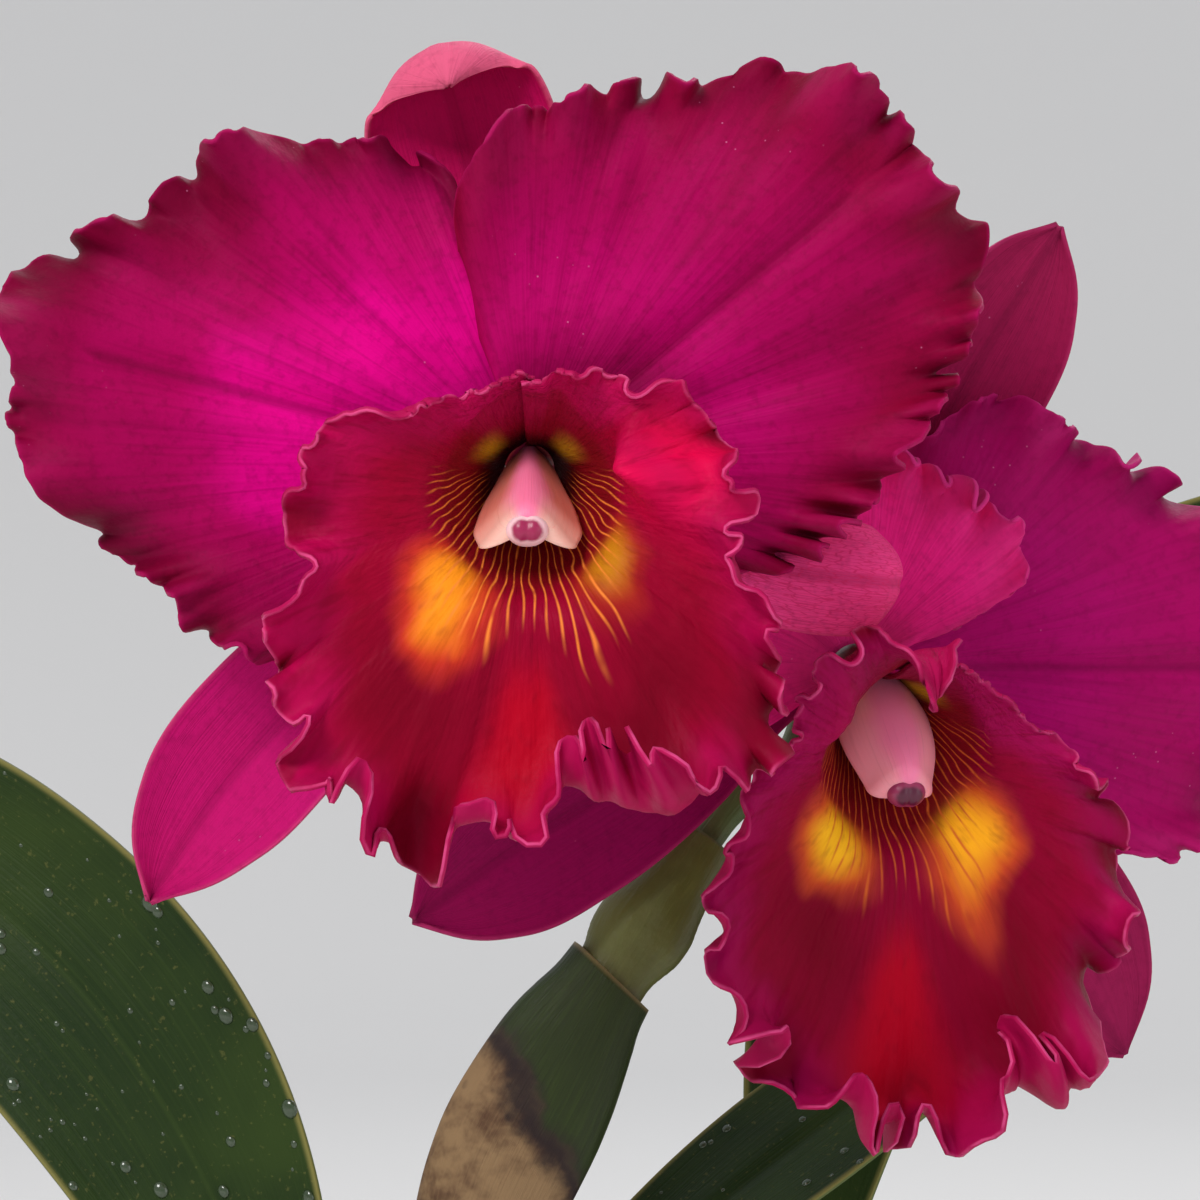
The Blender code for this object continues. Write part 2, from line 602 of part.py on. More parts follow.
def build_pot(clay):
    """The clay pot, with a thick rim band and drain holes off its centre."""
    inner_rim = POT_RIM_RADIUS - POT_WALL - 0.0010
    inner_floor = POT_BASE_RADIUS - POT_WALL
    band = POT_HEIGHT - POT_RIM_HEIGHT
    profile = (
        (POT_BASE_RADIUS - POT_EDGE, 0.0),
        (POT_BASE_RADIUS, POT_EDGE),
        (POT_NECK_RADIUS, band),
        (POT_RIM_RADIUS - POT_EDGE, band + POT_EDGE),
        (POT_RIM_RADIUS, POT_HEIGHT - POT_EDGE),
        (POT_RIM_RADIUS - POT_EDGE, POT_HEIGHT),
        (inner_rim + POT_EDGE, POT_HEIGHT),
        (inner_rim, POT_HEIGHT - POT_EDGE),
        (inner_floor, POT_FLOOR),
    )
    pot = add_object("pot", turned_mesh("pot", profile, POT_SIDES), clay)
    drills = []
    for k in range(DRAIN_HOLES):
        drill = helper("drill", turned_mesh("drill", ((DRAIN_RADIUS, -0.002), (DRAIN_RADIUS, POT_FLOOR + 0.002)), 12))
        around = 2 * math.pi * (k + 0.5) / DRAIN_HOLES
        spot = Matrix.Translation((DRAIN_CIRCLE * math.cos(around), DRAIN_CIRCLE * math.sin(around), 0.0))
        drill.data.transform(spot)
        drills.append(drill)
    apply_boolean(pot, "DIFFERENCE", drills)
    return pot


def pot_inner_radius(z):
    """The pot's inner radius at a height."""
    low, high = POT_BASE_RADIUS - POT_WALL, POT_RIM_RADIUS - POT_WALL - 0.0010
    return low + (high - low) * (z - POT_FLOOR) / (POT_HEIGHT - POT_EDGE - POT_FLOOR)


def bark_bed_mesh(name, top, shrink):
    """The space inside the pot up to a height, smaller all round by shrink."""
    bottom = POT_FLOOR + GAP
    profile = ((pot_inner_radius(bottom) - shrink, bottom), (pot_inner_radius(top) - shrink, top))
    return turned_mesh(name, profile, POT_SIDES)


def chip_objects(rng):
    """Bark chips: blocks that stand in the bed with tilted tops, spread by a sunflower rule."""
    chips = []
    reach = pot_inner_radius(BARK_TOP) - 0.0020
    for k in range(CHIP_COUNT):
        radius = reach * math.sqrt((k + 0.5) / CHIP_COUNT)
        around = k * math.radians(GOLDEN_ANGLE) + rng.uniform(-0.25, 0.25)
        centre = np.array([radius * math.cos(around), radius * math.sin(around)])
        half = np.array([rng.uniform(*CHIP_LENGTH), rng.uniform(*CHIP_WIDTH)]) / 2
        slope = np.tan(np.radians(rng.uniform(-CHIP_TILT, CHIP_TILT, 2)))
        turn = rng.uniform(0.0, math.pi)
        across = np.array([[math.cos(turn), math.sin(turn)], [-math.sin(turn), math.cos(turn)]])
        corners = np.array(((-1, -1), (1, -1), (1, 1), (-1, 1))) * half
        top = BARK_TOP + rng.uniform(*CHIP_STAND) + corners @ slope
        flat = centre + corners @ across
        low = np.column_stack([flat, np.full(4, CHIP_ROOT_Z)])
        chips.append(helper("chip", loft_mesh("chip", [low, np.column_stack([flat, top])])))
    return chips


def lengthened(path, extra):
    """The path with both of its ends moved outwards by extra."""
    path = path.copy()
    path[0] -= unit(path[1] - path[0]) * extra
    path[-1] += unit(path[-1] - path[-2]) * extra
    return path


def rhizome_solids(name, extra):
    """The rhizome, the knobs under the bulbs and the roots, each larger all round by extra, as helpers."""
    rhizome = lengthened(smooth_path(RHIZOME_PATH, 11), extra)
    taper = RHIZOME_RADIUS * (1.0 - 0.35 * ease(0.8, 1.0, np.linspace(0.0, 1.0, 11)))
    solids = [helper(name, tube_mesh(name, rhizome, taper + extra, 9))]
    for (x, y), _, _ in BULBS.values():
        knob = lengthened(np.array([[x, y, KNOB_FOOT], [x, y, KNOB_TOP]]), extra)
        solids.append(helper(name, tube_mesh(name, knob, np.full(2, KNOB_RADIUS + extra), 10)))
    for points in ROOT_PATHS:
        path = lengthened(smooth_path(points, 7), extra)
        radii = ROOT_RADIUS * (1.0 - 0.25 * np.linspace(0.0, 1.0, 7)) + extra
        solids.append(helper(name, tube_mesh(name, path, radii, 6)))
    return solids


def build_bark(brown):
    """The bark bed with its chips, clear of the pot, the rhizome and the roots."""
    bark = add_object("bark", bark_bed_mesh("bark", BARK_TOP - 0.0015, GAP), brown)
    apply_boolean(bark, "UNION", chip_objects(np.random.default_rng(CHIP_SEED)), "MANIFOLD")
    rim = helper("bark_limit", bark_bed_mesh("bark_limit", POT_HEIGHT - 0.0020, GAP))
    apply_boolean(bark, "INTERSECT", [rim], "MANIFOLD")
    apply_boolean(bark, "DIFFERENCE", rhizome_solids("groove", GAP + 0.0001), "MANIFOLD")
    return bark


def build_rhizome(tan):
    """The rhizome with its knobs and roots, joined into one body."""
    solids = rhizome_solids("rhizome_piece", 0.0)
    rhizome = add_object("rhizome", solids[0].data.copy(), tan)
    bpy.data.objects.remove(solids[0], do_unlink=True)
    apply_boolean(rhizome, "UNION", solids[1:], "MANIFOLD")
    return rhizome


def build_bulb(name, green):
    """A pseudobulb: a club with shallow ribs, from its knob on the rhizome to its flat apex."""
    (x, y), apex, radius = BULBS[name]
    base = np.array([x, y, BULB_BASE_Z])
    apex = np.array(apex)
    lean = apex - base
    middle = base + lean * 0.5 + np.array([lean[0], lean[1], 0.0]) * -0.12
    path = smooth_path((base, middle, apex), 9)
    path[1, :2] = (path[1, :2] + base[:2]) / 2
    share = np.linspace(0.0, 1.0, 9)
    radii = radius * through(BULB_PROFILE, share)
    rings = section_rings(path, (1.0, 0.0, 0.0), radii, radii, 12)
    rings[0, :, 2] = BULB_BASE_Z
    angle = np.linspace(0.0, 2 * math.pi, 12, endpoint=False)
    rib = 1.0 + BULB_RIB * np.cos(BULB_RIBS * angle)[None, :, None] * ease(0.0, 0.4, share)[:, None, None]
    rings[1:] = path[1:, None, :] + (rings[1:] - path[1:, None, :]) * rib[1:]
    return add_object(name, loft_mesh(name, rings), green)


def build_leaf(name, green):
    """One thick leaf, folded at its stalk and gently channelled along its midrib."""
    spec = LEAVES[name]
    heading = unit(spec["heading"])
    facing = np.array(spec["facing"])
    facing = unit(facing - heading * facing.dot(heading))
    width = leaf_width(spec["half_width"])
    grid = strap_surface(
        np.array(spec["base"]), heading, facing, spec["length"], width,
        spec["pitch"], spec["turn"], LEAF_CUP, *LEAF_GRID,
    )
    return blade(name, grid, LEAF_THICKNESS, green)


def stem_stretch(ends, count):
    """Points of the flower stem's line between two shares of its length."""
    line = smooth_path(STEM_PATH, 101)
    picks = np.linspace(ends[0] * 100, ends[1] * 100, count).round().astype(int)
    return line[picks]


def build_sleeve(name, ends, width, depth, wall, green, sides, count):
    """A flattened sleeve round the flower stem: up its outside and down its inside."""
    path = stem_stretch(ends, count)
    share = np.linspace(0.0, 1.0, count)
    wide, deep = through(width, share), through(depth, share)
    outside = section_rings(path, (1.0, 0.0, 0.0), wide, deep, sides)
    inside = section_rings(path, (1.0, 0.0, 0.0), wide - wall, deep - wall, sides)
    return add_object(name, loft_mesh(name, np.concatenate([outside, inside[::-1]]), closed_loop=True), green)


def build_pedicel(bloom, green):
    """The stalk and ribbed ovary behind one bloom."""
    front = turned_frame(*WHORL_TURN[bloom])[:, 2]
    place = np.array(BLOOM_PLACE[bloom])
    back = place + front * (FOOT_BACK - 2.0 * GAP)
    points = [*PEDICEL_PATHS[bloom], back - front * 0.012, back]
    path = smooth_path(points, 13)
    share = np.linspace(0.0, 1.0, 13)
    radii = through(PEDICEL_RADIUS, share)
    rings = section_rings(path, (0.0, 0.0, 1.0), radii, radii, 12)
    rib = 1.0 + 0.10 * np.cos(6 * np.linspace(0.0, 2 * math.pi, 12, endpoint=False))
    rings = path[:, None, :] + (rings - path[:, None, :]) * (1.0 + (rib[None, :, None] - 1.0) * share[:, None, None])
    name = f"{bloom}_pedicel"
    return add_object(name, loft_mesh(name, rings), green)


def build_floral_bract(bloom, green):
    """The small pointed bract that hugs the foot of one pedicel."""
    start, onward = (np.array(point) for point in PEDICEL_PATHS[bloom][:2])
    heading = unit(onward - start)
    facing = unit(np.cross(heading, (0.35, 1.0, 0.0)))
    base = start + heading * 0.0008 - facing * 0.0034
    width = ((0.0, 0.0030), (0.4, 0.0034), (0.8, 0.0016), (1.0, 0.0004))
    grid = strap_surface(
        base, heading, facing, 0.0105, width, ((0.0, -2.0), (1.0, -14.0)), ((0.0, 0.0), (1.0, 0.0)),
        ((0.0, 56.0), (1.0, 40.0)), 5, 4,
    )
    name = f"{bloom}_bract"
    return blade(name, grid, TEPAL_THICKNESS, green)


def build_column(bloom, pink):
    """The column, from its foot between the sepals to its hooded tip, with a seat for the anther cap."""
    whorl = turned_frame(*WHORL_TURN[bloom])
    lip = turned_frame(*LIP_TURN[bloom])
    place = np.array(BLOOM_PLACE[bloom])
    angle = np.linspace(0.0, 2 * math.pi, 16, endpoint=False)
    circle = np.cos(angle)[:, None] * whorl[:, 0] + np.sin(angle)[:, None] * whorl[:, 1]
    rings = [place + whorl[:, 2] * z + circle * FOOT_RADIUS for z in (FOOT_BACK, -0.0040, -0.0004)]
    axis = np.array([(0.0, drop, depth) for depth, drop in COLUMN_AXIS]) @ lip.T + place
    path = smooth_path(axis, 9)[1:]
    share = np.linspace(0.0, 1.0, 9)[1:]
    ahead = unit(path[-1] - path[-2])
    path = np.concatenate([path, path[-1:] + np.outer([0.5, 0.85, 1.0], ahead) * COLUMN_TIP])
    share = np.concatenate([share, np.ones(3)])
    blunt = np.concatenate([np.ones(8), (0.96, 0.80, 0.40)])
    wide, deep = through(COLUMN_WIDTH, share) * blunt, through(COLUMN_DEPTH, share) * blunt
    droop = through(COLUMN_DROOP, share) * blunt
    hood = section_rings(path, lip[:, 0], wide, deep, 16)
    hood -= droop[:, None, None] * (np.cos(angle) ** 2)[None, :, None] * lip[:, 1]
    rings += list(hood)
    name = f"{bloom}_column"
    column = add_object(name, loft_mesh(name, rings), pink)
    seat = helper("anther_seat", anther_mesh(bloom, "anther_seat", GAP))
    apply_boolean(column, "DIFFERENCE", [seat])
    return column


def anther_mesh(bloom, name, extra):
    """The anther cap as a low rounded cap, larger all round by extra."""
    lip = turned_frame(*LIP_TURN[bloom])
    centre = lip @ np.array([0.0, ANTHER_PLACE[1], ANTHER_PLACE[0]]) + np.array(BLOOM_PLACE[bloom])
    ball = bmesh.new()
    bmesh.ops.create_uvsphere(ball, u_segments=12, v_segments=7, radius=1.0)
    size = Matrix.Diagonal((*(half + extra for half in ANTHER_SIZE), 1.0))
    turn = Matrix([[*row, 0.0] for row in lip.tolist()] + [[0.0, 0.0, 0.0, 1.0]])
    bmesh.ops.transform(ball, matrix=Matrix.Translation(centre) @ turn @ size, verts=ball.verts)
    mesh = bpy.data.meshes.new(name)
    ball.to_mesh(mesh)
    ball.free()
    mesh.shade_smooth()
    return mesh


def build_sepal(name, colour):
    """One sepal of a bloom."""
    spec = SEPALS[name]
    around = math.radians(spec["heading"])
    heading = np.array([math.cos(around), math.sin(around), 0.0])
    width = sepal_width(spec["half_width"], spec["peak"])
    grid = strap_surface(
        heading * CLAW + np.array([0.0, 0.0, SEPAL_DEPTH]), heading, np.array([0.0, 0.0, 1.0]), spec["length"],
        width, spec["pitch"], spec["turn"], spec["cup"], *SEPAL_GRID,
    )
    bloom = name[0]
    return blade(name, placed(grid, BLOOM_PLACE[bloom], WHORL_TURN[bloom]), TEPAL_THICKNESS, colour)


def build_petal(name, colour):
    """One broad ruffled petal of a bloom."""
    bloom = name[0]
    grid = petal_surface(PETALS[name], *PETAL_GRID)
    return blade(name, placed(grid, BLOOM_PLACE[bloom], WHORL_TURN[bloom]), TEPAL_THICKNESS, colour)


def build_lip(name, colour):
    """The lip of a bloom: one sheet, rolled round the column and ruffled at its rim."""
    bloom = name[0]
    grid = lip_surface(LIPS[name], LIP_ROWS, LIP_COLUMNS)
    return blade(name, placed(grid, BLOOM_PLACE[bloom], LIP_TURN[bloom]), LIP_THICKNESS, colour)


def main():
    """Build the whole plant in its pot."""
    clear_scene()
    clay = material("clay", (0.46, 0.19, 0.10), 0.85)
    brown = material("bark", (0.12, 0.065, 0.035), 0.9)
    tan = material("rhizome", (0.30, 0.26, 0.16), 0.7)
    green = material("bulb_green", (0.10, 0.19, 0.05), 0.5)
    leaf_green = material("leaf_green", (0.030, 0.10, 0.022), 0.38)
    stem_green = material("stem_green", (0.085, 0.16, 0.045), 0.45)
    papery = material("sheath", (0.28, 0.20, 0.11), 0.6)
    magenta = material("petal_magenta", (0.56, 0.004, 0.20), 0.5)
    sepal_pink = material("sepal_pink", (0.48, 0.02, 0.19), 0.5)
    crimson = material("lip_crimson", (0.50, 0.004, 0.045), 0.5)
    pink = material("column_pink", (0.78, 0.28, 0.34), 0.45)
    white = material("anther_white", (0.80, 0.55, 0.60), 0.4)

    build_pot(clay)
    build_bark(brown)
    build_rhizome(tan)
    for name in BULBS:
        build_bulb(name, green)
    for name in LEAVES:
        build_leaf(name, leaf_green)
    stem = stem_stretch((0.0, 1.0), 18)
    radii = STEM_RADIUS * (1.0 + 0.35 * ease(0.93, 1.0, np.linspace(0.0, 1.0, 18)))
    add_object("flower_stem", tube_mesh("flower_stem", stem, radii, 9), stem_green)
    build_sleeve("sheath", SHEATH_ENDS, SHEATH_WIDTH, SHEATH_DEPTH, SHEATH_WALL, papery, 18, 9)
    build_sleeve("stem_bract", BRACT_ENDS, BRACT_WIDTH, BRACT_DEPTH, SHEATH_WALL, stem_green, 14, 6)
    for bloom in BLOOM_PLACE:
        build_pedicel(bloom, stem_green)
        build_floral_bract(bloom, stem_green)
        build_column(bloom, pink)
        add_object(f"{bloom}_anther", anther_mesh(bloom, f"{bloom}_anther", 0.0), white)
        build_lip(f"{bloom}_lip", crimson)
    for name in SEPALS:
        build_sepal(name, sepal_pink)
    for name in PETALS:
        build_petal(name, magenta)


main()
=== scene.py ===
"""Looks of a potted cattleya orchid with two ruffled blooms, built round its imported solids.

Metres and degrees, +Z up. The origin is at the centre of the pot's underside and the blooms face -Y.
Bloom "a" stands in front on the left, bloom "b" behind it on the right. Every surface is a grid of two
parameters worked out with numpy, in the same shapes as the solids and with finer frills.
"""

from __future__ import annotations

import json
import logging
import math
from dataclasses import dataclass, field
from enum import Enum
from functools import reduce
from typing import Sequence

import bpy
import numpy as np
import numpy.typing as npt
from mathutils import Matrix, Vector

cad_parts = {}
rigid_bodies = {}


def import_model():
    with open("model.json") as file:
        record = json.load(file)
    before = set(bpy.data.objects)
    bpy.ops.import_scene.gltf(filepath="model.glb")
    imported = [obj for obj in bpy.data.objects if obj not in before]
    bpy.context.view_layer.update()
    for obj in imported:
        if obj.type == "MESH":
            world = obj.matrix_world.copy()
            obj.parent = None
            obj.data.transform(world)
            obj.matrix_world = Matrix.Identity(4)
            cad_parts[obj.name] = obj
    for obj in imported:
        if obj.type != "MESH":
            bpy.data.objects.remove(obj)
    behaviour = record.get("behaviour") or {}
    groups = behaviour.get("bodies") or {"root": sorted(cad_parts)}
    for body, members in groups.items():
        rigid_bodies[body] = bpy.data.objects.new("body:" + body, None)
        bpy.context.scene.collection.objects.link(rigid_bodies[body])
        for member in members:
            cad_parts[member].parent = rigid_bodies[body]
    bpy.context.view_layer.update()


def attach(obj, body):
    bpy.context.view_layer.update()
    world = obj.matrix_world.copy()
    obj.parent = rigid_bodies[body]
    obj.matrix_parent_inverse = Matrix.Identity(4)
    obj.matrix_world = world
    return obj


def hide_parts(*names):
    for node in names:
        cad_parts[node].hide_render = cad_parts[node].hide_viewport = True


LOG = logging.getLogger("orchid")
Array = npt.NDArray[np.float64]
Pairs = Sequence[tuple[float, float]]
Point = tuple[float, float, float]
Colour = tuple[float, float, float]
Socket = bpy.types.NodeSocket
Material = bpy.types.Material


# Curves and frames


def ease(low: float, high: float, x: Array | float) -> Array:
    """0 below low and 1 above high, with a smooth S between them: t * t * (3 - 2 t).

    Args:
        low: where the rise starts.
        high: where it ends.
        x: the places asked for.

    Returns:
        The rise at each place.
    """
    t = np.clip((np.asarray(x, float) - low) / (high - low), 0.0, 1.0)
    return t * t * (3.0 - 2.0 * t)


def bell(centre: float, width: float, x: Array | float) -> Array:
    """A bump of height 1: exp(-((x - centre) / width) squared)."""
    return np.exp(-(((np.asarray(x, float) - centre) / width) ** 2))


def through(points: Pairs, x: Array | float) -> Array:
    """The smooth curve through (x, y) points: cubic pieces that share a slope where they meet.

    Args:
        points: places and values, with the places rising.
        x: the places asked for.

    Returns:
        The curve's value at each place, held level beyond the ends.
    """
    px, py = np.array(points, float).T
    x = np.asarray(x, float)
    slope = np.gradient(py, px)
    i = np.clip(np.searchsorted(px, x, side="right") - 1, 0, len(px) - 2)
    h = px[i + 1] - px[i]
    t = np.clip((x - px[i]) / h, 0.0, 1.0)
    start = (2 * t**3 - 3 * t**2 + 1) * py[i] + (t**3 - 2 * t**2 + t) * h * slope[i]
    end = (3 * t**2 - 2 * t**3) * py[i + 1] + (t**3 - t**2) * h * slope[i + 1]
    return start + end


def running_sum(values: Array, s: Array) -> Array:
    """The integral of values along their first axis by trapezoids, from zero at the first place s."""
    steps = (values[1:] + values[:-1]) / 2 * np.diff(s)[:, None]
    return np.concatenate([np.zeros((1, values.shape[1])), np.cumsum(steps, axis=0)])


def unit(vector: Sequence[float] | Array) -> Array:
    """The vector at length 1."""
    vector = np.array(vector, float)
    return vector / np.linalg.norm(vector)


def round_angles(count: int) -> Array:
    """Even angles round one turn, in radians from 0."""
    return np.linspace(0.0, 2 * math.pi, count, endpoint=False)


def lathed(radius: Array | float, height: Array | float, angle: Array) -> Array:
    """Points round the z axis: (radius * cos(angle), radius * sin(angle), height)."""
    return np.stack(np.broadcast_arrays(radius * np.cos(angle), radius * np.sin(angle), height), axis=-1)


def ball_grid(latitudes: Array, sides: int) -> Array:
    """Points of a ball of radius 1 as (latitudes, sides, 3)."""
    return lathed(np.cos(latitudes)[:, None], np.sin(latitudes)[:, None], round_angles(sides))


def swollen(path: Array, rings: Array, factor: Array) -> Array:
    """Rings round a path with each point's distance from the path times a factor."""
    middle = path[:, None, :]
    return middle + (rings - middle) * factor[..., None]


def shaded(colour: Colour, factor: float) -> Colour:
    """The colour times a factor."""
    red, green, blue = colour
    return factor * red, factor * green, factor * blue


def ripple(x: Array, y: Array | float, scale: float, seed: int, octaves: int = 2) -> Array:
    """Smooth seeded noise of two parameters, about -1 to 1: sine waves in six directions an octave.

    Args:
        x: first parameter.
        y: second parameter, which broadcasts with x.
        scale: radians of wave for each unit of the parameters.
        seed: the pattern's seed.
        octaves: how many times the waves get twice as fine and half as high.

    Returns:
        The noise at each place.
    """
    rng = np.random.default_rng(seed)
    total = np.zeros(np.broadcast(x, y).shape)
    for octave in range(octaves):
        for _ in range(6):
            way, phase = rng.uniform(0.0, 2.0 * math.pi, 2)
            pace = scale * 2.0**octave * rng.uniform(0.7, 1.3)
            total = total + np.sin(pace * (x * math.cos(way) + y * math.sin(way)) + phase) / 2.0**octave
    return total / 3.0


def turned_frame(yaw: float, nod: float) -> Array:
    """The frame of a bloom that faces -Y, then yaws to the right and nods.

    Args:
        yaw: degrees to the right.
        nod: degrees down.

    Returns:
        Its directions right, up and front as columns.
    """
    yaw, nod = math.radians(yaw), math.radians(nod)
    front = np.array([math.sin(yaw) * math.cos(nod), -math.cos(yaw) * math.cos(nod), -math.sin(nod)])
    right = np.array([math.cos(yaw), math.sin(yaw), 0.0])
    return np.stack([right, np.cross(front, right), front], axis=1)


def smooth_path(points: Sequence[Sequence[float]] | Array, count: int) -> Array:
    """Even steps along the smooth curve through some points.

    Args:
        points: the points.
        count: how many places are wanted.

    Returns:
        The places as (count, 3).
    """
    points = np.array(points, float)
    knots = np.concatenate([[0.0], np.cumsum(np.linalg.norm(np.diff(points, axis=0), axis=1))])
    places = np.linspace(0.0, knots[-1], count)
    return np.stack([through(np.column_stack([knots, points[:, k]]), places) for k in range(3)], axis=1)


def section_rings(path: Array, first_side: Sequence[float], wide: Array, deep: Array, sides: int) -> Array:
    """Elliptical rings carried along a path with no twist.

    Ring point = path + wide * cos(angle) * side + deep * sin(angle) * front, where side starts as
    first_side and stays square to the path.

    Args:
        path: points along the middle.
        first_side: the side direction at the start.
        wide: half width at each point.
        deep: half depth at each point.
        sides: points round each ring.

    Returns:
        Rings as (points along, sides, 3).
    """
    tangents = np.gradient(path, axis=0)
    tangents /= np.linalg.norm(tangents, axis=1, keepdims=True)
    sideways = np.empty_like(path)
    side = np.array(first_side, float)
    for k, tangent in enumerate(tangents):
        side = unit(side - tangent * side.dot(tangent))
        sideways[k] = side
    front = np.cross(tangents, sideways)
    angle = round_angles(sides)
    across = np.asarray(wide)[:, None, None] * np.cos(angle)[None, :, None] * sideways[:, None, :]
    through_it = np.asarray(deep)[:, None, None] * np.sin(angle)[None, :, None] * front[:, None, :]
    return path[:, None, :] + across + through_it


# Meshes


@dataclass
class Body:
    """Faces of one or more closed solids, before they are put into a Blender mesh."""

    points: Array
    quads: npt.NDArray[np.int64]
    quads_uv: Array
    tris: npt.NDArray[np.int64] = field(default_factory=lambda: np.zeros((0, 3), int))
    tris_uv: Array = field(default_factory=lambda: np.zeros((0, 3, 2)))
    marks: dict[str, Array] = field(default_factory=dict)

    def volume(self) -> float:
        """Signed volume, which is positive when the faces point outwards.

        Returns:
            Cubic metres.
        """
        a, b, c, d = (self.points[self.quads[:, k]] for k in range(4))
        total = np.einsum("ij,ij->", a, np.cross(b, c)) + np.einsum("ij,ij->", a, np.cross(c, d))
        if len(self.tris):
            e, f, g = (self.points[self.tris[:, k]] for k in range(3))
            total += np.einsum("ij,ij->", e, np.cross(f, g))
        return float(total / 6.0)

    def outward(self) -> Body:
        """The same body with its faces turned round if they point inwards.

        Returns:
            This body.
        """
        if self.volume() < 0.0:
            self.quads, self.quads_uv = self.quads[:, ::-1], self.quads_uv[:, ::-1]
            self.tris, self.tris_uv = self.tris[:, ::-1], self.tris_uv[:, ::-1]
        return self


def joined(bodies: Sequence[Body]) -> Body:
    """Put several bodies together.

    Args:
        bodies: the bodies.

    Returns:
        One body, with the marks that all of them have.
    """
    starts = np.cumsum([0] + [len(body.points) for body in bodies])
    names = set.intersection(*(set(body.marks) for body in bodies))
    return Body(
        points=np.concatenate([body.points for body in bodies]),
        quads=np.concatenate([body.quads + start for body, start in zip(bodies, starts)]),
        quads_uv=np.concatenate([body.quads_uv for body in bodies]),
        tris=np.concatenate([body.tris + start for body, start in zip(bodies, starts)]),
        tris_uv=np.concatenate([body.tris_uv for body in bodies]),
        marks={name: np.concatenate([body.marks[name] for body in bodies]) for name in names},
    )


def grid_normals(grid: Array) -> Array:
    """Unit normals of a grid: the cross product of its two directions.

    Args:
        grid: points as (rows, columns, 3).

    Returns:
        The normals in the same order.
    """
    along, across = np.gradient(grid, axis=0), np.gradient(grid, axis=1)
    normal = np.cross(along, across)
    length = np.linalg.norm(normal, axis=2, keepdims=True)
    return normal / np.maximum(length, 1e-12)


def thin_body(grid: Array, thickness: Array | float, marks: dict[str, Array]) -> Body:
    """A thin closed solid on a grid: its two faces stand half the thickness off it, joined round the rim.

    Args:
        grid: middle surface as (rows, columns, 3).
        thickness: at each grid point, or one for all.
        marks: values that the finish reads, which broadcast over (rows, columns).

    Returns:
        The body, with UV = (column share, row share) and a mark "face" that is 1 on the front.
    """
    shape = rows, columns = grid.shape[:2]
    offset = grid_normals(grid) * (np.broadcast_to(thickness, shape) / 2)[..., None]
    points = np.concatenate([(grid + offset).reshape(-1, 3), (grid - offset).reshape(-1, 3)])
    index = np.arange(rows * columns).reshape(rows, columns)
    front = np.stack([index[:-1, :-1], index[:-1, 1:], index[1:, 1:], index[1:, :-1]], -1).reshape(-1, 4)
    back = front[:, ::-1] + rows * columns
    rim = np.concatenate([index[0, :], index[1:, -1], index[-1, -2::-1], index[-2:0:-1, 0]])
    after = np.roll(rim, -1)
    edge = np.stack([rim, rim + rows * columns, after + rows * columns, after], -1)
    quads = np.concatenate([front, back, edge])
    v, u = np.meshgrid(np.linspace(0, 1, rows), np.linspace(0, 1, columns), indexing="ij")
    uv = np.tile(np.stack([u, v], -1).reshape(-1, 2), (2, 1))
    values = {name: np.tile(np.broadcast_to(value, shape).ravel(), 2) for name, value in marks.items()}
    values["face"] = np.repeat([1.0, 0.0], rows * columns)
    return Body(points, quads, uv[quads], marks=values).outward()


def ring_body(rings: Array, marks: dict[str, Array | float] | None = None, loop: bool = False) -> Body:
    """A closed solid through rings of points: a fan at each end, or its last ring joined to its first.

    Args:
        rings: (rings, sides, 3).
        marks: values that the finish reads, which broadcast over (rings, sides).
        loop: True for a sleeve whose rings run up its outside and down its inside.

    Returns:
        The body, with UV = (share round, share along).
    """
    count, sides = rings.shape[:2]
    index = np.arange(count * sides).reshape(count, sides)
    rows = np.concatenate([index, index[:1]]) if loop else index
    across = np.concatenate([rows, rows[:, :1]], axis=1)
    quads = np.stack([across[:-1, :-1], across[:-1, 1:], across[1:, 1:], across[1:, :-1]], -1).reshape(-1, 4)
    v, u = np.meshgrid(np.linspace(0, 1, len(rows)), np.linspace(0, 1, sides + 1), indexing="ij")
    uv = np.stack([u, v], -1)
    quads_uv = np.stack([uv[:-1, :-1], uv[:-1, 1:], uv[1:, 1:], uv[1:, :-1]], 2).reshape(-1, 4, 2)
    points = rings.reshape(-1, 3)
    values = {name: np.broadcast_to(value, (count, sides)).ravel() for name, value in (marks or {}).items()}
    if loop:
        return Body(points, quads, quads_uv, marks=values).outward()
    first, last = count * sides, count * sides + 1
    points = np.concatenate([points, rings[:1].mean(axis=1), rings[-1:].mean(axis=1)])
    ends = {name: (value[:sides].mean(), value[-sides:].mean()) for name, value in values.items()}
    values = {name: np.concatenate([value, ends[name]]) for name, value in values.items()}
    near, far = index[0], index[-1]
    tris = np.concatenate([
        np.stack([np.full(sides, first), np.roll(near, -1), near], -1),
        np.stack([np.full(sides, last), far, np.roll(far, -1)], -1),
    ])
    middle = (np.arange(sides) + 0.5) / sides
    low, high = np.arange(sides) / sides, (np.arange(sides) + 1) / sides
    fans = [
        np.stack([np.stack([u, np.full(sides, v)], -1) for u in corners], 1)
        for v, corners in ((0.0, (middle, high, low)), (1.0, (middle, low, high)))
    ]
    return Body(points, quads, quads_uv, tris, np.concatenate(fans), values).outward()


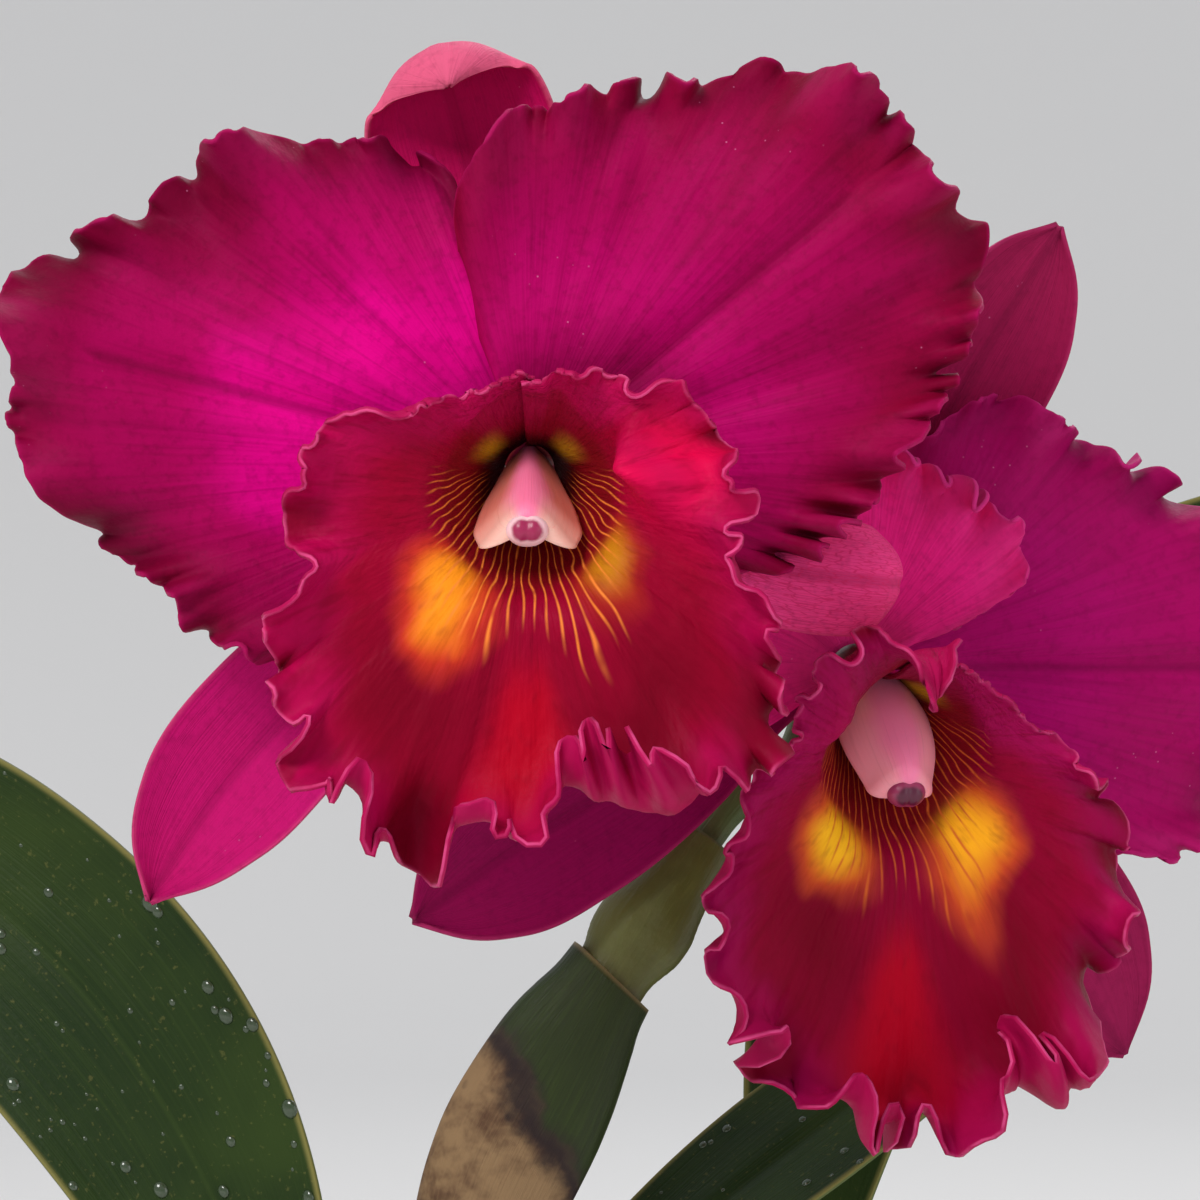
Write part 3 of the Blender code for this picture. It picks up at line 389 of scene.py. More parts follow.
def mesh_of(name: str, body: Body) -> bpy.types.Mesh:
    """Make a Blender mesh with smooth shading.

    Args:
        name: the mesh's name.
        body: its faces, whose marks become attributes.

    Returns:
        The mesh.
    """
    mesh = bpy.data.meshes.new(name)
    mesh.vertices.add(len(body.points))
    mesh.vertices.foreach_set("co", body.points.astype(np.float32).ravel())
    corners = np.concatenate([body.quads.ravel(), body.tris.ravel()]).astype(np.int32)
    mesh.loops.add(len(corners))
    mesh.loops.foreach_set("vertex_index", corners)
    starts = np.concatenate([
        np.arange(len(body.quads)) * 4,
        len(body.quads) * 4 + np.arange(len(body.tris)) * 3,
    ]).astype(np.int32)
    mesh.polygons.add(len(starts))
    mesh.polygons.foreach_set("loop_start", starts)
    mesh.update(calc_edges=True)
    uv = np.concatenate([body.quads_uv.reshape(-1, 2), body.tris_uv.reshape(-1, 2)]).astype(np.float32)
    mesh.uv_layers.new(name="Surface").data.foreach_set("uv", uv.ravel())
    for mark, values in body.marks.items():
        mesh.attributes.new(mark, "FLOAT", "POINT").data.foreach_set("value", values.astype(np.float32))
    mesh.validate()
    mesh.shade_smooth()
    return mesh


def add_piece(name: str, body: Body, finish: Material) -> bpy.types.Object:
    """Put a body into the scene as a piece that rides on the plant.

    Args:
        name: the piece's name.
        body: its faces.
        finish: its material.

    Returns:
        The new object.
    """
    mesh = mesh_of(name, body)
    mesh.materials.append(finish)
    piece = bpy.data.objects.new(name, mesh)
    bpy.context.scene.collection.objects.link(piece)
    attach(piece, "root")
    LOG.info("%s: %d faces", name, len(body.quads) + len(body.tris))
    return piece


def dress(node: str, body: Body, finish: Material) -> bpy.types.Object:
    """Add the piece that stands for a solid of the frame.

    Args:
        node: the solid's name.
        body: the piece's faces.
        finish: its material.

    Returns:
        The new object.
    """
    piece = add_piece(f"{node}_dressed", body, finish)
    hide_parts(node)
    return piece


# Finishes


class Recipe:
    """A material's node tree, written as a row of small steps."""

    def __init__(self, name: str) -> None:
        """Start a material with its Principled shader.

        Args:
            name: the material's name.
        """
        self.material = bpy.data.materials.new(name)
        self.material.use_nodes = True
        self.tree = self.material.node_tree
        self.shader = self.tree.nodes["Principled BSDF"]

    def node(
        self, kind: str, inputs: dict[str | int, object] | None = None, **settings: object
    ) -> bpy.types.Node:
        """Add a node.

        Args:
            kind: Blender's name for its type.
            inputs: its inputs by name or number, each with the output that feeds it or its value.
            **settings: its own settings.

        Returns:
            The new node.
        """
        made = self.tree.nodes.new(kind)
        for key, value in settings.items():
            setattr(made, key, value)
        for key, value in (inputs or {}).items():
            self.feed(value, made.inputs[key])
        return made

    def feed(self, value: object, socket: Socket) -> None:
        """Link an output to an input, or set the input's value.

        Args:
            value: the output of another node, or a number or colour.
            socket: the input.
        """
        if isinstance(value, Socket):
            self.tree.links.new(value, socket)
        elif socket.type == "RGBA" and isinstance(value, tuple) and len(value) == 3:
            socket.default_value = (*value, 1.0)
        else:
            socket.default_value = value

    def mark(self, name: str) -> Socket:
        """The value that the mesh carries under a name."""
        return self.node("ShaderNodeAttribute", attribute_name=name).outputs["Fac"]

    def marks(self, *names: str) -> list[Socket]:
        """The values that the mesh carries under several names."""
        return [self.mark(name) for name in names]

    def spot(self) -> Socket:
        """The place on the piece, in metres."""
        return self.node("ShaderNodeTexCoord").outputs["Object"]

    def sum(self, operation: str, a: object, b: object = 0.0) -> Socket:
        """One step of arithmetic."""
        return self.node("ShaderNodeMath", {0: a, 1: b}, operation=operation).outputs[0]

    def times(self, *values: object) -> Socket:
        """The product of the values."""
        return reduce(lambda a, b: self.sum("MULTIPLY", a, b), values)

    def plus(self, *values: object) -> Socket:
        """The sum of the values."""
        return reduce(lambda a, b: self.sum("ADD", a, b), values)

    def minus(self, a: object, b: object) -> Socket:
        """a minus b."""
        return self.sum("SUBTRACT", a, b)

    def rise(self, value: object, low: float, high: float, bottom: float = 0.0, top: float = 1.0) -> Socket:
        """A smooth step of the value from bottom at low to top at high, where low may be the larger."""
        inputs = {"Value": value, "From Min": low, "From Max": high, "To Min": bottom, "To Max": top}
        return self.node("ShaderNodeMapRange", inputs, interpolation_type="SMOOTHSTEP").outputs[0]

    def hump(self, value: object, centre: float, width: float) -> Socket:
        """1 at the centre, falling smoothly to 0 at a width either side."""
        return self.rise(self.sum("ABSOLUTE", self.minus(value, centre)), width, 0.0)

    def behind(self) -> Socket:
        """1 on a thin piece's back and 0 on its front, from the mark "face"."""
        return self.rise(self.mark("face"), 0.6, 0.4)

    def vector(self, x: object, y: object, z: object = 0.0) -> Socket:
        """Three numbers as one place."""
        return self.node("ShaderNodeCombineXYZ", {0: x, 1: y, 2: z}).outputs[0]

    def noise(self, place: object, scale: float, detail: float = 3.0, rough: float = 0.55) -> Socket:
        """Cloudy noise, about 0.2 to 0.8."""
        inputs = {"Vector": place, "Scale": scale, "Detail": detail, "Roughness": rough}
        return self.node("ShaderNodeTexNoise", inputs).outputs["Fac"]

    def cells(self, place: object, scale: float, feature: str = "F1") -> Socket:
        """Distance inside a pattern of cells, or to the cells' edges."""
        inputs = {"Vector": place, "Scale": scale}
        return self.node("ShaderNodeTexVoronoi", inputs, feature=feature).outputs["Distance"]

    def over(self, colour: object, paint: object, *shares: object) -> Socket:
        """A paint laid over a colour, as strong as the product of the shares."""
        inputs = {0: self.times(*shares), 6: colour, 7: paint}
        return self.node("ShaderNodeMix", inputs, data_type="RGBA").outputs[2]

    def layers(self, colour: object, *layers: tuple[object, ...]) -> object:
        """A colour with several paints laid over it in turn, each given as (paint, shares ...)."""
        return reduce(lambda below, layer: self.over(below, *layer), layers, colour)

    def bump(self, height: object, distance: float) -> None:
        """Let a height in 0 to 1 raise the surface by a distance in metres."""
        made = self.node("ShaderNodeBump", {"Height": height, "Distance": distance, "Strength": 1.0})
        self.feed(made.outputs[0], self.shader.inputs["Normal"])

    def finish(self, colour: object, rough: object, **sockets: object) -> Material:
        """Set the shader's inputs.

        Args:
            colour: its base colour.
            rough: its roughness.
            **sockets: other inputs by name, with _ for a space.

        Returns:
            The finished material.
        """
        self.feed(colour, self.shader.inputs["Base Color"])
        self.feed(rough, self.shader.inputs["Roughness"])
        for name, value in sockets.items():
            self.feed(value, self.shader.inputs[name.replace("_", " ")])
        return self.material


@dataclass(frozen=True)
class TepalFinish:
    """Velvety magenta of the petals and sepals, with veins that run out from the claw. Painted highlights lie
    on the frills' crests and as small glints, and painted shade lies in the frills' hollows.

    Reads the marks "reach" (0 at the claw, 1 at the rim), "ray" (the angle round the claw in turns),
    "rim" (metres from the rim), "vein" (metres from the midvein), "crest" (-1 in a frill's hollow, 1 on
    its top) and "face".
    """

    name: str
    claw: Colour
    # Tone of the band between claw and field; on the front bloom's left petal it is a painted highlight.
    heart_tone_and_highlight: Colour
    field: Colour
    rim: Colour
    back: Colour
    streaks: float = 1
    net: float = 0
    # Colour of the painted glints.
    glint_tint: Colour = (0.85, 0.25, 0.5)

    def build(self) -> Material:
        """Build the node tree.

        Returns:
            The finished material.
        """
        r = Recipe(self.name)
        reach, ray, rim, vein, crest = r.marks("reach", "ray", "rim", "vein", "crest")
        deep = shaded(self.rim, 0.42)
        out = r.plus(reach, r.times(r.minus(r.noise(r.spot(), 38, 2), 0.5), 0.45))
        fine = r.noise(r.vector(r.times(ray, 330), r.times(reach, 2.6)), 1, 1, 0.5)
        coarse = r.noise(r.vector(r.times(ray, 84), r.times(reach, 1.3)), 1, 2, 0.55)
        veins = r.plus(r.times(r.rise(fine, 0.5, 0.66), 0.7), r.rise(coarse, 0.5, 0.68))
        near_rim = r.rise(rim, 0.014, 0.004)
        glint_spots = r.rise(r.cells(r.spot(), 420), 0.09, 0.03)
        mottle = r.noise(r.spot(), 520, 2, 0.65)
        grain = r.noise(r.spot(), 2400, 0)
        colour = r.layers(
            self.claw,
            (self.heart_tone_and_highlight, r.rise(out, 0.08, 0.36)),
            (self.field, r.rise(out, 0.38, 0.66)),
            (self.rim, r.rise(out, 0.6, 1)),
            (deep, veins, r.rise(reach, 0.02, 0.2), 0.19 * self.streaks),
            (deep, r.hump(vein, 0, 0.0018), 0.45),
        )
        if self.net:
            mesh = r.cells(r.vector(r.times(ray, 150), r.times(reach, 26)), 1, "DISTANCE_TO_EDGE")
            colour = r.over(colour, self.rim, r.rise(mesh, 0.1, 0), 0.3 * self.net)
        colour = r.layers(
            colour,
            # Painted light near the rim: the back colour is a painted highlight on the frills' crests, the
            # deep colour painted shade in their hollows.
            (self.back, r.rise(crest, 0.15, 0.9), near_rim, 0.4),
            (deep, r.rise(crest, -0.1, -0.9), near_rim, 0.35),
            # Painted glints: small pale spots that stand for the velvety surface's tiny highlights.
            (self.glint_tint, glint_spots, r.rise(r.noise(r.spot(), 60, 0), 0.6, 0.72), 0.45),
            (self.back, r.rise(rim, 0.0009, 0), 0.5),
            (self.back, r.behind(), 0.85),
            (deep, r.rise(mottle, 0.45, 0.75), 0.24),
        )
        height = r.plus(r.times(fine, 0.55), r.times(coarse, 0.35), r.times(mottle, 0.45))
        r.bump(height, 0.0003)
        return r.finish(
            colour, r.plus(0.5, r.times(grain, 0.16)),
            Specular_IOR_Level=0.15, Specular_Tint=(1, 0.25, 0.6, 1),
        )


@dataclass(frozen=True)
class Flare:
    """A yellow patch on a lip: its middle and half sizes in the marks "side" and "limb", and its colours."""

    side: float
    limb: float
    wide: float
    long: float
    colour: Colour
    halo: Colour

    def laid(self, r: Recipe, colour: object, limb: object, side: object, cloud: object) -> object:
        """Lay the halo and then the patch over a colour.

        Args:
            r: the lip's recipe.
            colour: what they are laid over.
            limb: the mark "limb".
            side: the mark "side".
            cloud: noise about 0 that frays the patch's outline.

        Returns:
            The new colour.
        """
        across = r.sum("DIVIDE", r.minus(r.plus(side, r.times(cloud, 0.12)), self.side), self.wide)
        along = r.sum("DIVIDE", r.minus(r.plus(limb, r.times(cloud, 0.25)), self.limb), self.long)
        away = r.sum("SQRT", r.plus(r.times(across, across), r.times(along, along)))
        halo = (self.halo, r.rise(away, 1.5, 0.75), 0.9)
        return r.layers(colour, halo, (self.colour, r.rise(away, 1.05, 0.25)))


@dataclass(frozen=True)
class LipFinish:
    """Crimson of a lip, with yellow flares, radiating yellow veins, a dark throat and a pale crisped rim.
    Painted highlight lies on the frills' crests and bulges and partly on the pale rim, and painted shade lies
    in the frills' hollows and deep in the throat.

    Reads the marks "limb" (-1 at the foot, 0 at the throat's mouth, 1 at the rim), "side" (-1 and 1 at the
    seam above the column, 0 straight down), "rim", "crest" and "face".
    """

    name: str
    flares: tuple[Flare, ...]
    crimson: Colour = (0.28, 0.0006, 0.02)
    deep: Colour = (0.17, 0.0005, 0.01)
    stripe: Colour = (0.44, 0.0008, 0.014)
    edge: Colour = (0.42, 0.0016, 0.066)
    pale: Colour = (0.8, 0.09, 0.28)
    throat: Colour = (0.055, 0.0015, 0.003)
    maroon: Colour = (0.17, 0.003, 0.006)
    line: Colour = (0.9, 0.24, 0.035)
    olive: Colour = (0.62, 0.34, 0.012)
    back: Colour = (0.42, 0.004, 0.075)

    def build(self) -> Material:
        """Build the node tree.

        Returns:
            The finished material.
        """
        r = Recipe(self.name)
        limb, side, rim, crest = r.marks("limb", "side", "rim", "crest")
        aside = r.sum("ABSOLUTE", side)
        cloud = r.minus(r.noise(r.spot(), 60, 2), 0.5)
        out = r.plus(limb, r.times(cloud, 0.3))
        flank = r.hump(r.plus(aside, r.times(cloud, 0.1)), 0.17, 0.19)
        fan = r.noise(r.vector(r.times(side, 62), r.times(limb, 2.5)), 1, 2, 0.6)
        width = r.plus(0.028, r.times(limb, 0.055))
        middle = r.rise(r.sum("DIVIDE", aside, width), 1.4, 0.3)
        lace = r.rise(r.noise(r.spot(), 150, 2), 0.35, 0.65, 0.15, 0.75)
        crease = r.noise(r.vector(r.times(side, 30), r.times(limb, 7)), 1, 2, 0.62)
        grain = r.noise(r.spot(), 2200, 0)
        colour = r.layers(
            self.crimson,
            (self.edge, r.rise(r.plus(rim, r.times(cloud, 0.01)), 0.017, 0.003)),
            (self.deep, flank, r.hump(out, 0.46, 0.36), 0.9),
            (self.deep, r.rise(fan, 0.48, 0.7), 0.4),
            (self.stripe, middle, r.rise(limb, 0.2, 0.45), r.rise(limb, 1, 0.8)),
        )
        for flare in self.flares:
            colour = flare.laid(r, colour, limb, side, cloud)
        colour = r.layers(
            self.veined(r, colour, limb, side, aside),
            # Painted light near the rim: the back colour is a painted highlight on the crests and bulges, the
            # deep colour painted shade in the hollows.
            (self.back, r.rise(crest, 0.1, 0.8), r.rise(rim, 0.026, 0.008), 0.6),
            (self.deep, r.rise(crest, -0.05, -0.7), r.rise(rim, 0.028, 0.008), 0.85),
            # The pale rim line, broken up by noise, is partly the lip's own pale edge and partly painted
            # highlight along the frilled edge.
            (self.pale, r.rise(rim, 0.0007, 0), lace),
            (self.back, r.behind(), 0.85),
            (self.deep, r.rise(crease, 0.5, 0.72), 0.28),
        )
        r.bump(r.plus(r.times(fan, 0.45), r.times(crease, 0.8)), 0.0007)
        return r.finish(
            colour, r.plus(0.44, r.times(grain, 0.18)),
            Specular_IOR_Level=0.16, Specular_Tint=(1, 0.25, 0.45, 1),
        )

    def veined(self, r: Recipe, colour: object, limb: object, side: object, aside: object) -> object:
        """Darken the throat, and draw thin yellow lines that fan out from under the column.

        Args:
            r: the lip's recipe.
            colour: what they are laid over.
            limb: the mark "limb".
            side: the mark "side".
            aside: its distance from 0.

        Returns:
            The new colour.
        """
        sway = r.noise(r.vector(r.times(side, 9), r.times(limb, 3)), 1, 1)
        bend = r.times(r.minus(sway, 0.5), 0.06)
        count = r.times(r.plus(r.times(side, r.plus(1, r.times(limb, 0.35))), bend), 30)
        share, which = r.sum("FRACT", count), r.sum("FLOOR", count)
        length = r.times(r.noise(r.vector(which, 0), 3.1, 1), 0.4)
        length = r.times(length, r.plus(0.2, r.times(r.hump(aside, 0.15, 0.17), 0.8)))
        below = r.rise(aside, 0.42, 0.05)
        arch = r.times(r.rise(aside, 0.74, 1), 0.5)
        dark = r.rise(r.minus(limb, r.plus(arch, r.times(below, 0.05))), 0.04, -0.12)
        end = r.minus(r.minus(limb, length), r.times(below, 0.06))
        near = r.times(r.rise(end, 0.08, -0.04), r.rise(limb, -0.7, -0.45), r.rise(aside, 0.62, 0.54))
        worn = r.rise(r.noise(r.vector(count, r.times(limb, 9)), 1, 2), 0.3, 0.55, 0.35, 1)
        return r.layers(
            colour,
            (self.maroon, dark, r.rise(aside, 0.66, 0.86, 0.93, 0.4)),
            # Darker deep in the tube: the throat's own dark colour and painted shade.
            (self.throat, r.rise(limb, -0.3, -0.62)),
            (self.olive, r.hump(aside, 0.76, 0.13), r.hump(limb, -0.42, 0.26), 0.75),
            (self.line, r.hump(share, 0.5, 0.17), near, worn, 0.95),
        )


@dataclass(frozen=True)
class LeafFinish:
    """Dark waxy green with fine lengthwise striping, a pale thin margin and a lighter back.

    Reads the marks "reach" (0 at the stalk, 1 at the tip), "cross" (-1 and 1 at the margins), "rim"
    and "face".
    """

    name: str
    green: Colour = (0.009, 0.024, 0.003)
    light: Colour = (0.024, 0.046, 0.006)
    margin: Colour = (0.2, 0.18, 0.05)
    back: Colour = (0.085, 0.125, 0.04)

    def build(self) -> Material:
        """Build the node tree.

        Returns:
            The finished material.
        """
        r = Recipe(self.name)
        reach, cross, rim = r.marks("reach", "cross", "rim")
        cloud = r.noise(r.spot(), 26, 3)
        stripe = r.noise(r.vector(r.times(cross, 34), r.times(reach, 3)), 1, 2, 0.65)
        fleck = r.noise(r.spot(), 900, 2)
        colour = r.layers(
            self.green,
            (self.light, r.rise(cloud, 0.35, 0.75)),
            (self.light, r.rise(stripe, 0.45, 0.75), 0.45),
            # Lighter along the midrib: the midrib's own paler green and a painted sheen.
            (self.light, r.hump(cross, 0, 0.05), 0.55),
            (self.margin, r.rise(fleck, 0.62, 0.75), 0.25),
            (self.margin, r.rise(rim, 0.0012, 0), 0.9),
            (self.back, r.behind(), 0.8),
        )
        r.bump(r.plus(r.times(stripe, 0.6), r.times(fleck, 0.25)), 0.0003)
        rough = r.plus(r.times(cloud, 0.2), 0.32, r.times(fleck, 0.16))
        return r.finish(colour, rough, Specular_IOR_Level=0.16)


class SkinKind(Enum):
    """What a green skin covers."""

    BULB = "bulb"
    STEM = "stem"
    BRACT = "bract"


@dataclass(frozen=True)
class SkinFinish:
    """Satin green skin of bulbs, stems, bracts and ovaries, with lengthwise ribs and a dry paper wrap.

    Reads the mark "dry", which is 1 where a papery wrap covers the skin, and the UV map.
    """

    kind: SkinKind
    green: Colour
    light: Colour
    blush: Colour
    paper: Colour = (0.34, 0.27, 0.17)

    def build(self) -> Material:
        """Build the node tree.

        Returns:
            The finished material.
        """
        r = Recipe(f"skin_{self.kind.value}")
        split = r.node("ShaderNodeSeparateXYZ", {0: r.node("ShaderNodeUVMap", uv_map="Surface").outputs[0]})
        around, along = split.outputs[0], split.outputs[1]
        turn = r.times(around, 2 * math.pi)
        loop = r.vector(r.sum("COSINE", turn), r.sum("SINE", turn), r.times(along, 1.4))
        stripe = r.noise(loop, 7, 4, 0.65)
        cloud = r.noise(r.spot(), 55, 4)
        fleck = r.noise(r.spot(), 1100, 2)
        dry = r.mark("dry")
        torn = r.noise(loop, 16, 5, 0.7)
        paper = r.over(self.paper, shaded(self.paper, 0.45), r.rise(torn, 0.35, 0.7))
        colour = r.layers(
            self.green,
            (self.light, r.rise(cloud, 0.35, 0.7)),
            (self.light, r.rise(stripe, 0.5, 0.7), 0.5),
            (self.blush, r.rise(r.noise(r.spot(), 30, 3), 0.55, 0.75), 0.5),
            (paper, dry),
        )
        r.bump(r.plus(r.times(stripe, 0.6), r.times(fleck, 0.15), r.times(torn, dry, 0.6)), 0.00035)
        rough = r.plus(0.34, r.times(dry, 0.3), r.times(fleck, 0.14))
        return r.finish(colour, rough, Specular_IOR_Level=0.4)


@dataclass(frozen=True)
class SheathFinish:
    """Sheath of the stem: green above a slanting dark band, and dry, brown and spotted below it.

    Reads the marks "height" (0 at the foot, 1 at the mouth), "rim", "face" and "slant" (-1 on the left
    and 1 on the right as seen from the front).
    """

    name: str = "sheath"
    green: Colour = (0.018, 0.03, 0.003)
    band: Colour = (0.016, 0.008, 0.009)
    tan: Colour = (0.25, 0.155, 0.075)
    brown: Colour = (0.085, 0.04, 0.02)

    def build(self) -> Material:
        """Build the node tree.

        Returns:
            The finished material.
        """
        r = Recipe(self.name)
        height, slant, rim, face = r.marks("height", "slant", "rim", "face")
        cloud = r.noise(r.spot(), 130, 5, 0.6)
        line = r.plus(height, r.times(slant, 0.11), r.times(r.minus(cloud, 0.5), 0.16))
        fibre = r.noise(r.vector(r.times(slant, 30), r.times(height, 5), face), 1, 4, 0.6)
        blotch = r.noise(r.spot(), 90, 4, 0.65)
        dry = r.over(self.tan, self.brown, r.rise(blotch, 0.42, 0.66))
        dry = r.over(dry, self.tan, r.rise(fibre, 0.45, 0.75), 0.35)
        spots = r.rise(r.cells(r.spot(), 230), 0.1, 0.26, 1, 0)
        dry = r.over(dry, self.band, spots, r.rise(r.noise(r.spot(), 70), 0.45, 0.6))
        fresh = r.over(self.green, shaded(self.green, 1.5), r.rise(fibre, 0.4, 0.7))
        colour = r.layers(
            dry,
            (fresh, r.rise(line, 0.64, 0.69)),
            (self.band, r.hump(line, 0.645, 0.075), 0.95),
            ((0.3, 0.24, 0.1), r.rise(rim, 0.001, 0), 0.7),
        )
        r.bump(r.plus(r.times(fibre, 0.7), r.times(blotch, 0.5)), 0.0004)
        rough = r.rise(line, 0.6, 0.72, 0.7, 0.38)
        return r.finish(colour, rough, Specular_IOR_Level=0.25)


@dataclass(frozen=True)
class ColumnFinish:
    """Waxy column: pink down its back, salmon and cream at its sides, nearly white at its tip, and painted
    shade at its foot.

    Reads the marks "cross" (-1 and 1 at its wings, 0 down its back), "reach" and "under".
    """

    name: str
    pink: Colour
    salmon: Colour
    tip: Colour = (0.9, 0.55, 0.46)
    under: Colour = (0.45, 0.1, 0.08)

    def build(self) -> Material:
        """Build the node tree.

        Returns:
            The finished material.
        """
        r = Recipe(self.name)
        cross, reach, under = r.marks("cross", "reach", "under")
        cloud = r.minus(r.noise(r.spot(), 260, 3), 0.5)
        away = r.plus(r.sum("ABSOLUTE", cross), r.times(cloud, 0.3))
        wing = r.times(r.rise(reach, 0.66, 0.94), r.rise(r.sum("ABSOLUTE", cross), 0.15, 0.7))
        lines = r.noise(r.vector(r.times(cross, 20), r.times(reach, 2)), 1, 3)
        colour = r.layers(
            self.pink,
            (self.salmon, r.rise(away, 0.3, 0.8)),
            (self.tip, wing, 0.85),
            # Painted shade: nearly black at the column's foot, deep inside the bloom.
            ((0.1, 0.008, 0.006), r.rise(reach, 0.28, 0.14)),
            (self.under, under, 0.8),
            (self.under, r.rise(lines, 0.55, 0.75), 0.18),
        )
        r.bump(lines, 0.0001)
        return r.finish(
            colour, 0.36, Specular_IOR_Level=0.45, Subsurface_Weight=0.25,
            Subsurface_Radius=(1, 0.35, 0.35), Subsurface_Scale=0.002,
        )


@dataclass(frozen=True)
class AntherFinish:
    """Anther cap: a dark purple middle inside a nearly white rim. Reads the mark "ring"."""

    name: str
    middle: Colour
    rim: Colour

    def build(self) -> Material:
        """Build the node tree.

        Returns:
            The finished material.
        """
        r = Recipe(self.name)
        ring = r.plus(r.mark("ring"), r.times(r.minus(r.noise(r.spot(), 500, 3), 0.5), 0.25))
        colour = r.over(self.middle, self.rim, r.rise(ring, 0.6, 0.84))
        r.bump(r.noise(r.spot(), 900, 2), 0.00008)
        return r.finish(
            colour, 0.34, Specular_IOR_Level=0.5, Subsurface_Weight=0.2,
            Subsurface_Radius=(1, 0.4, 0.5), Subsurface_Scale=0.001,
        )


@dataclass(frozen=True)
class ClayFinish:
    """Fired clay with turning lines, mineral bloom and a damp dark foot."""

    name: str = "fired_clay"
    clay: Colour = (0.4, 0.155, 0.08)
    pale: Colour = (0.58, 0.34, 0.24)
    damp: Colour = (0.22, 0.08, 0.045)

    def build(self) -> Material:
        """Build the node tree.

        Returns:
            The finished material.
        """
        r = Recipe(self.name)
        spot = r.spot()
        height = r.node("ShaderNodeSeparateXYZ", {0: spot}).outputs[2]
        cloud = r.noise(spot, 22, 6, 0.6)
        fleck = r.noise(spot, 700, 3)
        lines = r.noise(r.vector(0, 0, r.plus(height, r.times(r.noise(spot, 12), 0.0012))), 900, 2)
        bloom = r.times(r.rise(r.noise(spot, 34, 6, 0.7), 0.52, 0.7), r.rise(height, 0.01, 0.09))
        foot = r.rise(r.plus(height, r.times(cloud, 0.02)), 0.03, 0.012)
        colour = r.layers(
            self.clay,
            (shaded(self.clay, 1.25), r.rise(cloud, 0.3, 0.7)),
            (self.pale, bloom, 0.75),
            (self.damp, foot, 0.6),
            (self.damp, r.rise(fleck, 0.6, 0.75), 0.3),
        )
        r.bump(r.plus(r.times(lines, 0.5), r.times(fleck, 0.4), r.times(cloud, 0.3)), 0.0005)
        return r.finish(colour, r.plus(0.72, r.times(cloud, 0.2)), Specular_IOR_Level=0.25)


@dataclass(frozen=True)
class BarkFinish:
    """Fir bark: reddish brown corky layers with grey weathered faces. Reads the mark "piece"."""

    name: str = "fir_bark"
    brown: Colour = (0.125, 0.058, 0.03)
    red: Colour = (0.21, 0.095, 0.05)
    grey: Colour = (0.2, 0.165, 0.135)

    def build(self) -> Material:
        """Build the node tree.

        Returns:
            The finished material.
        """
        r = Recipe(self.name)
        spot, piece = r.spot(), r.mark("piece")
        layers = r.noise(spot, 210, 6, 0.7)
        flake = r.cells(spot, 260, "DISTANCE_TO_EDGE")
        colour = r.layers(
            self.brown,
            (self.red, r.rise(layers, 0.35, 0.65)),
            (self.grey, r.rise(piece, 0.4, 1), 0.6),
            (shaded(self.brown, 0.4), r.rise(piece, 0.35, 0), 0.6),
            (shaded(self.brown, 0.35), r.rise(flake, 0.08, 0), 0.6),
        )
        r.bump(r.plus(r.times(layers, 0.8), r.times(flake, 0.5)), 0.001)
        return r.finish(colour, r.plus(0.75, r.times(layers, 0.2)), Specular_IOR_Level=0.22)


@dataclass(frozen=True)
class RootFinish:
    """Rhizome and roots: dry fibrous scales, silvery root skin and green growing tips. Reads "tip"."""

    name: str = "root_skin"
    silver: Colour = (0.46, 0.44, 0.36)
    fibre: Colour = (0.24, 0.17, 0.095)
    green: Colour = (0.16, 0.27, 0.05)

    def build(self) -> Material:
        """Build the node tree.

        Returns:
            The finished material.
        """
        r = Recipe(self.name)
        spot, tip = r.spot(), r.mark("tip")
        cloud = r.noise(spot, 120, 5, 0.65)
        fleck = r.noise(spot, 900, 3)
        colour = r.layers(
            self.silver,
            (self.fibre, r.rise(cloud, 0.4, 0.62)),
            (self.fibre, r.rise(tip, -0.2, -0.6)),
            (self.green, r.rise(tip, 0.9, 1)),
            (shaded(self.fibre, 0.5), r.rise(fleck, 0.55, 0.75), 0.35),
        )
        r.bump(r.plus(r.times(cloud, 0.5), r.times(fleck, 0.5)), 0.0005)
        return r.finish(colour, 0.72, Specular_IOR_Level=0.3)


@dataclass(frozen=True)
class DropFinish:
    """Water beads, which shine, with the leaf's green painted in for the leaf seen through the clear water."""

    name: str = "water_bead"

    def build(self) -> Material:
        """Build the node tree.

        Returns:
            The finished material.
        """
        r = Recipe(self.name)
        # Painted see-through: the leaf's green stands in for the leaf seen through the clear drop.
        leaf_seen_through = r.over((0.02, 0.038, 0.012), (0.045, 0.07, 0.035), r.noise(r.spot(), 300))
        return r.finish(leaf_seen_through, 0.06, Specular_IOR_Level=0.5, Coat_Weight=0.4, Coat_Roughness=0.03)


# The blooms


@dataclass(frozen=True)
class Frill:
    """Waves round a blade's rim, whose slope grows from a start share of the reach to the rim.

    pinch moves each crest's flanks in under it, as a share of the wave's length, so that it overhangs
    past 0.5. zone is the middle and the width, in degrees, of the stretch of the rim that has the waves.
    """

    waves: float
    phase: float
    swing: float
    start: float
    pinch: float = 0.0
    zone: tuple[float, float] | None = None


@dataclass(frozen=True)
class Fold:
    """One fold of a blade: a slope that is largest along one ray."""

    centre: float
    width: float
    swing: float
    start: float


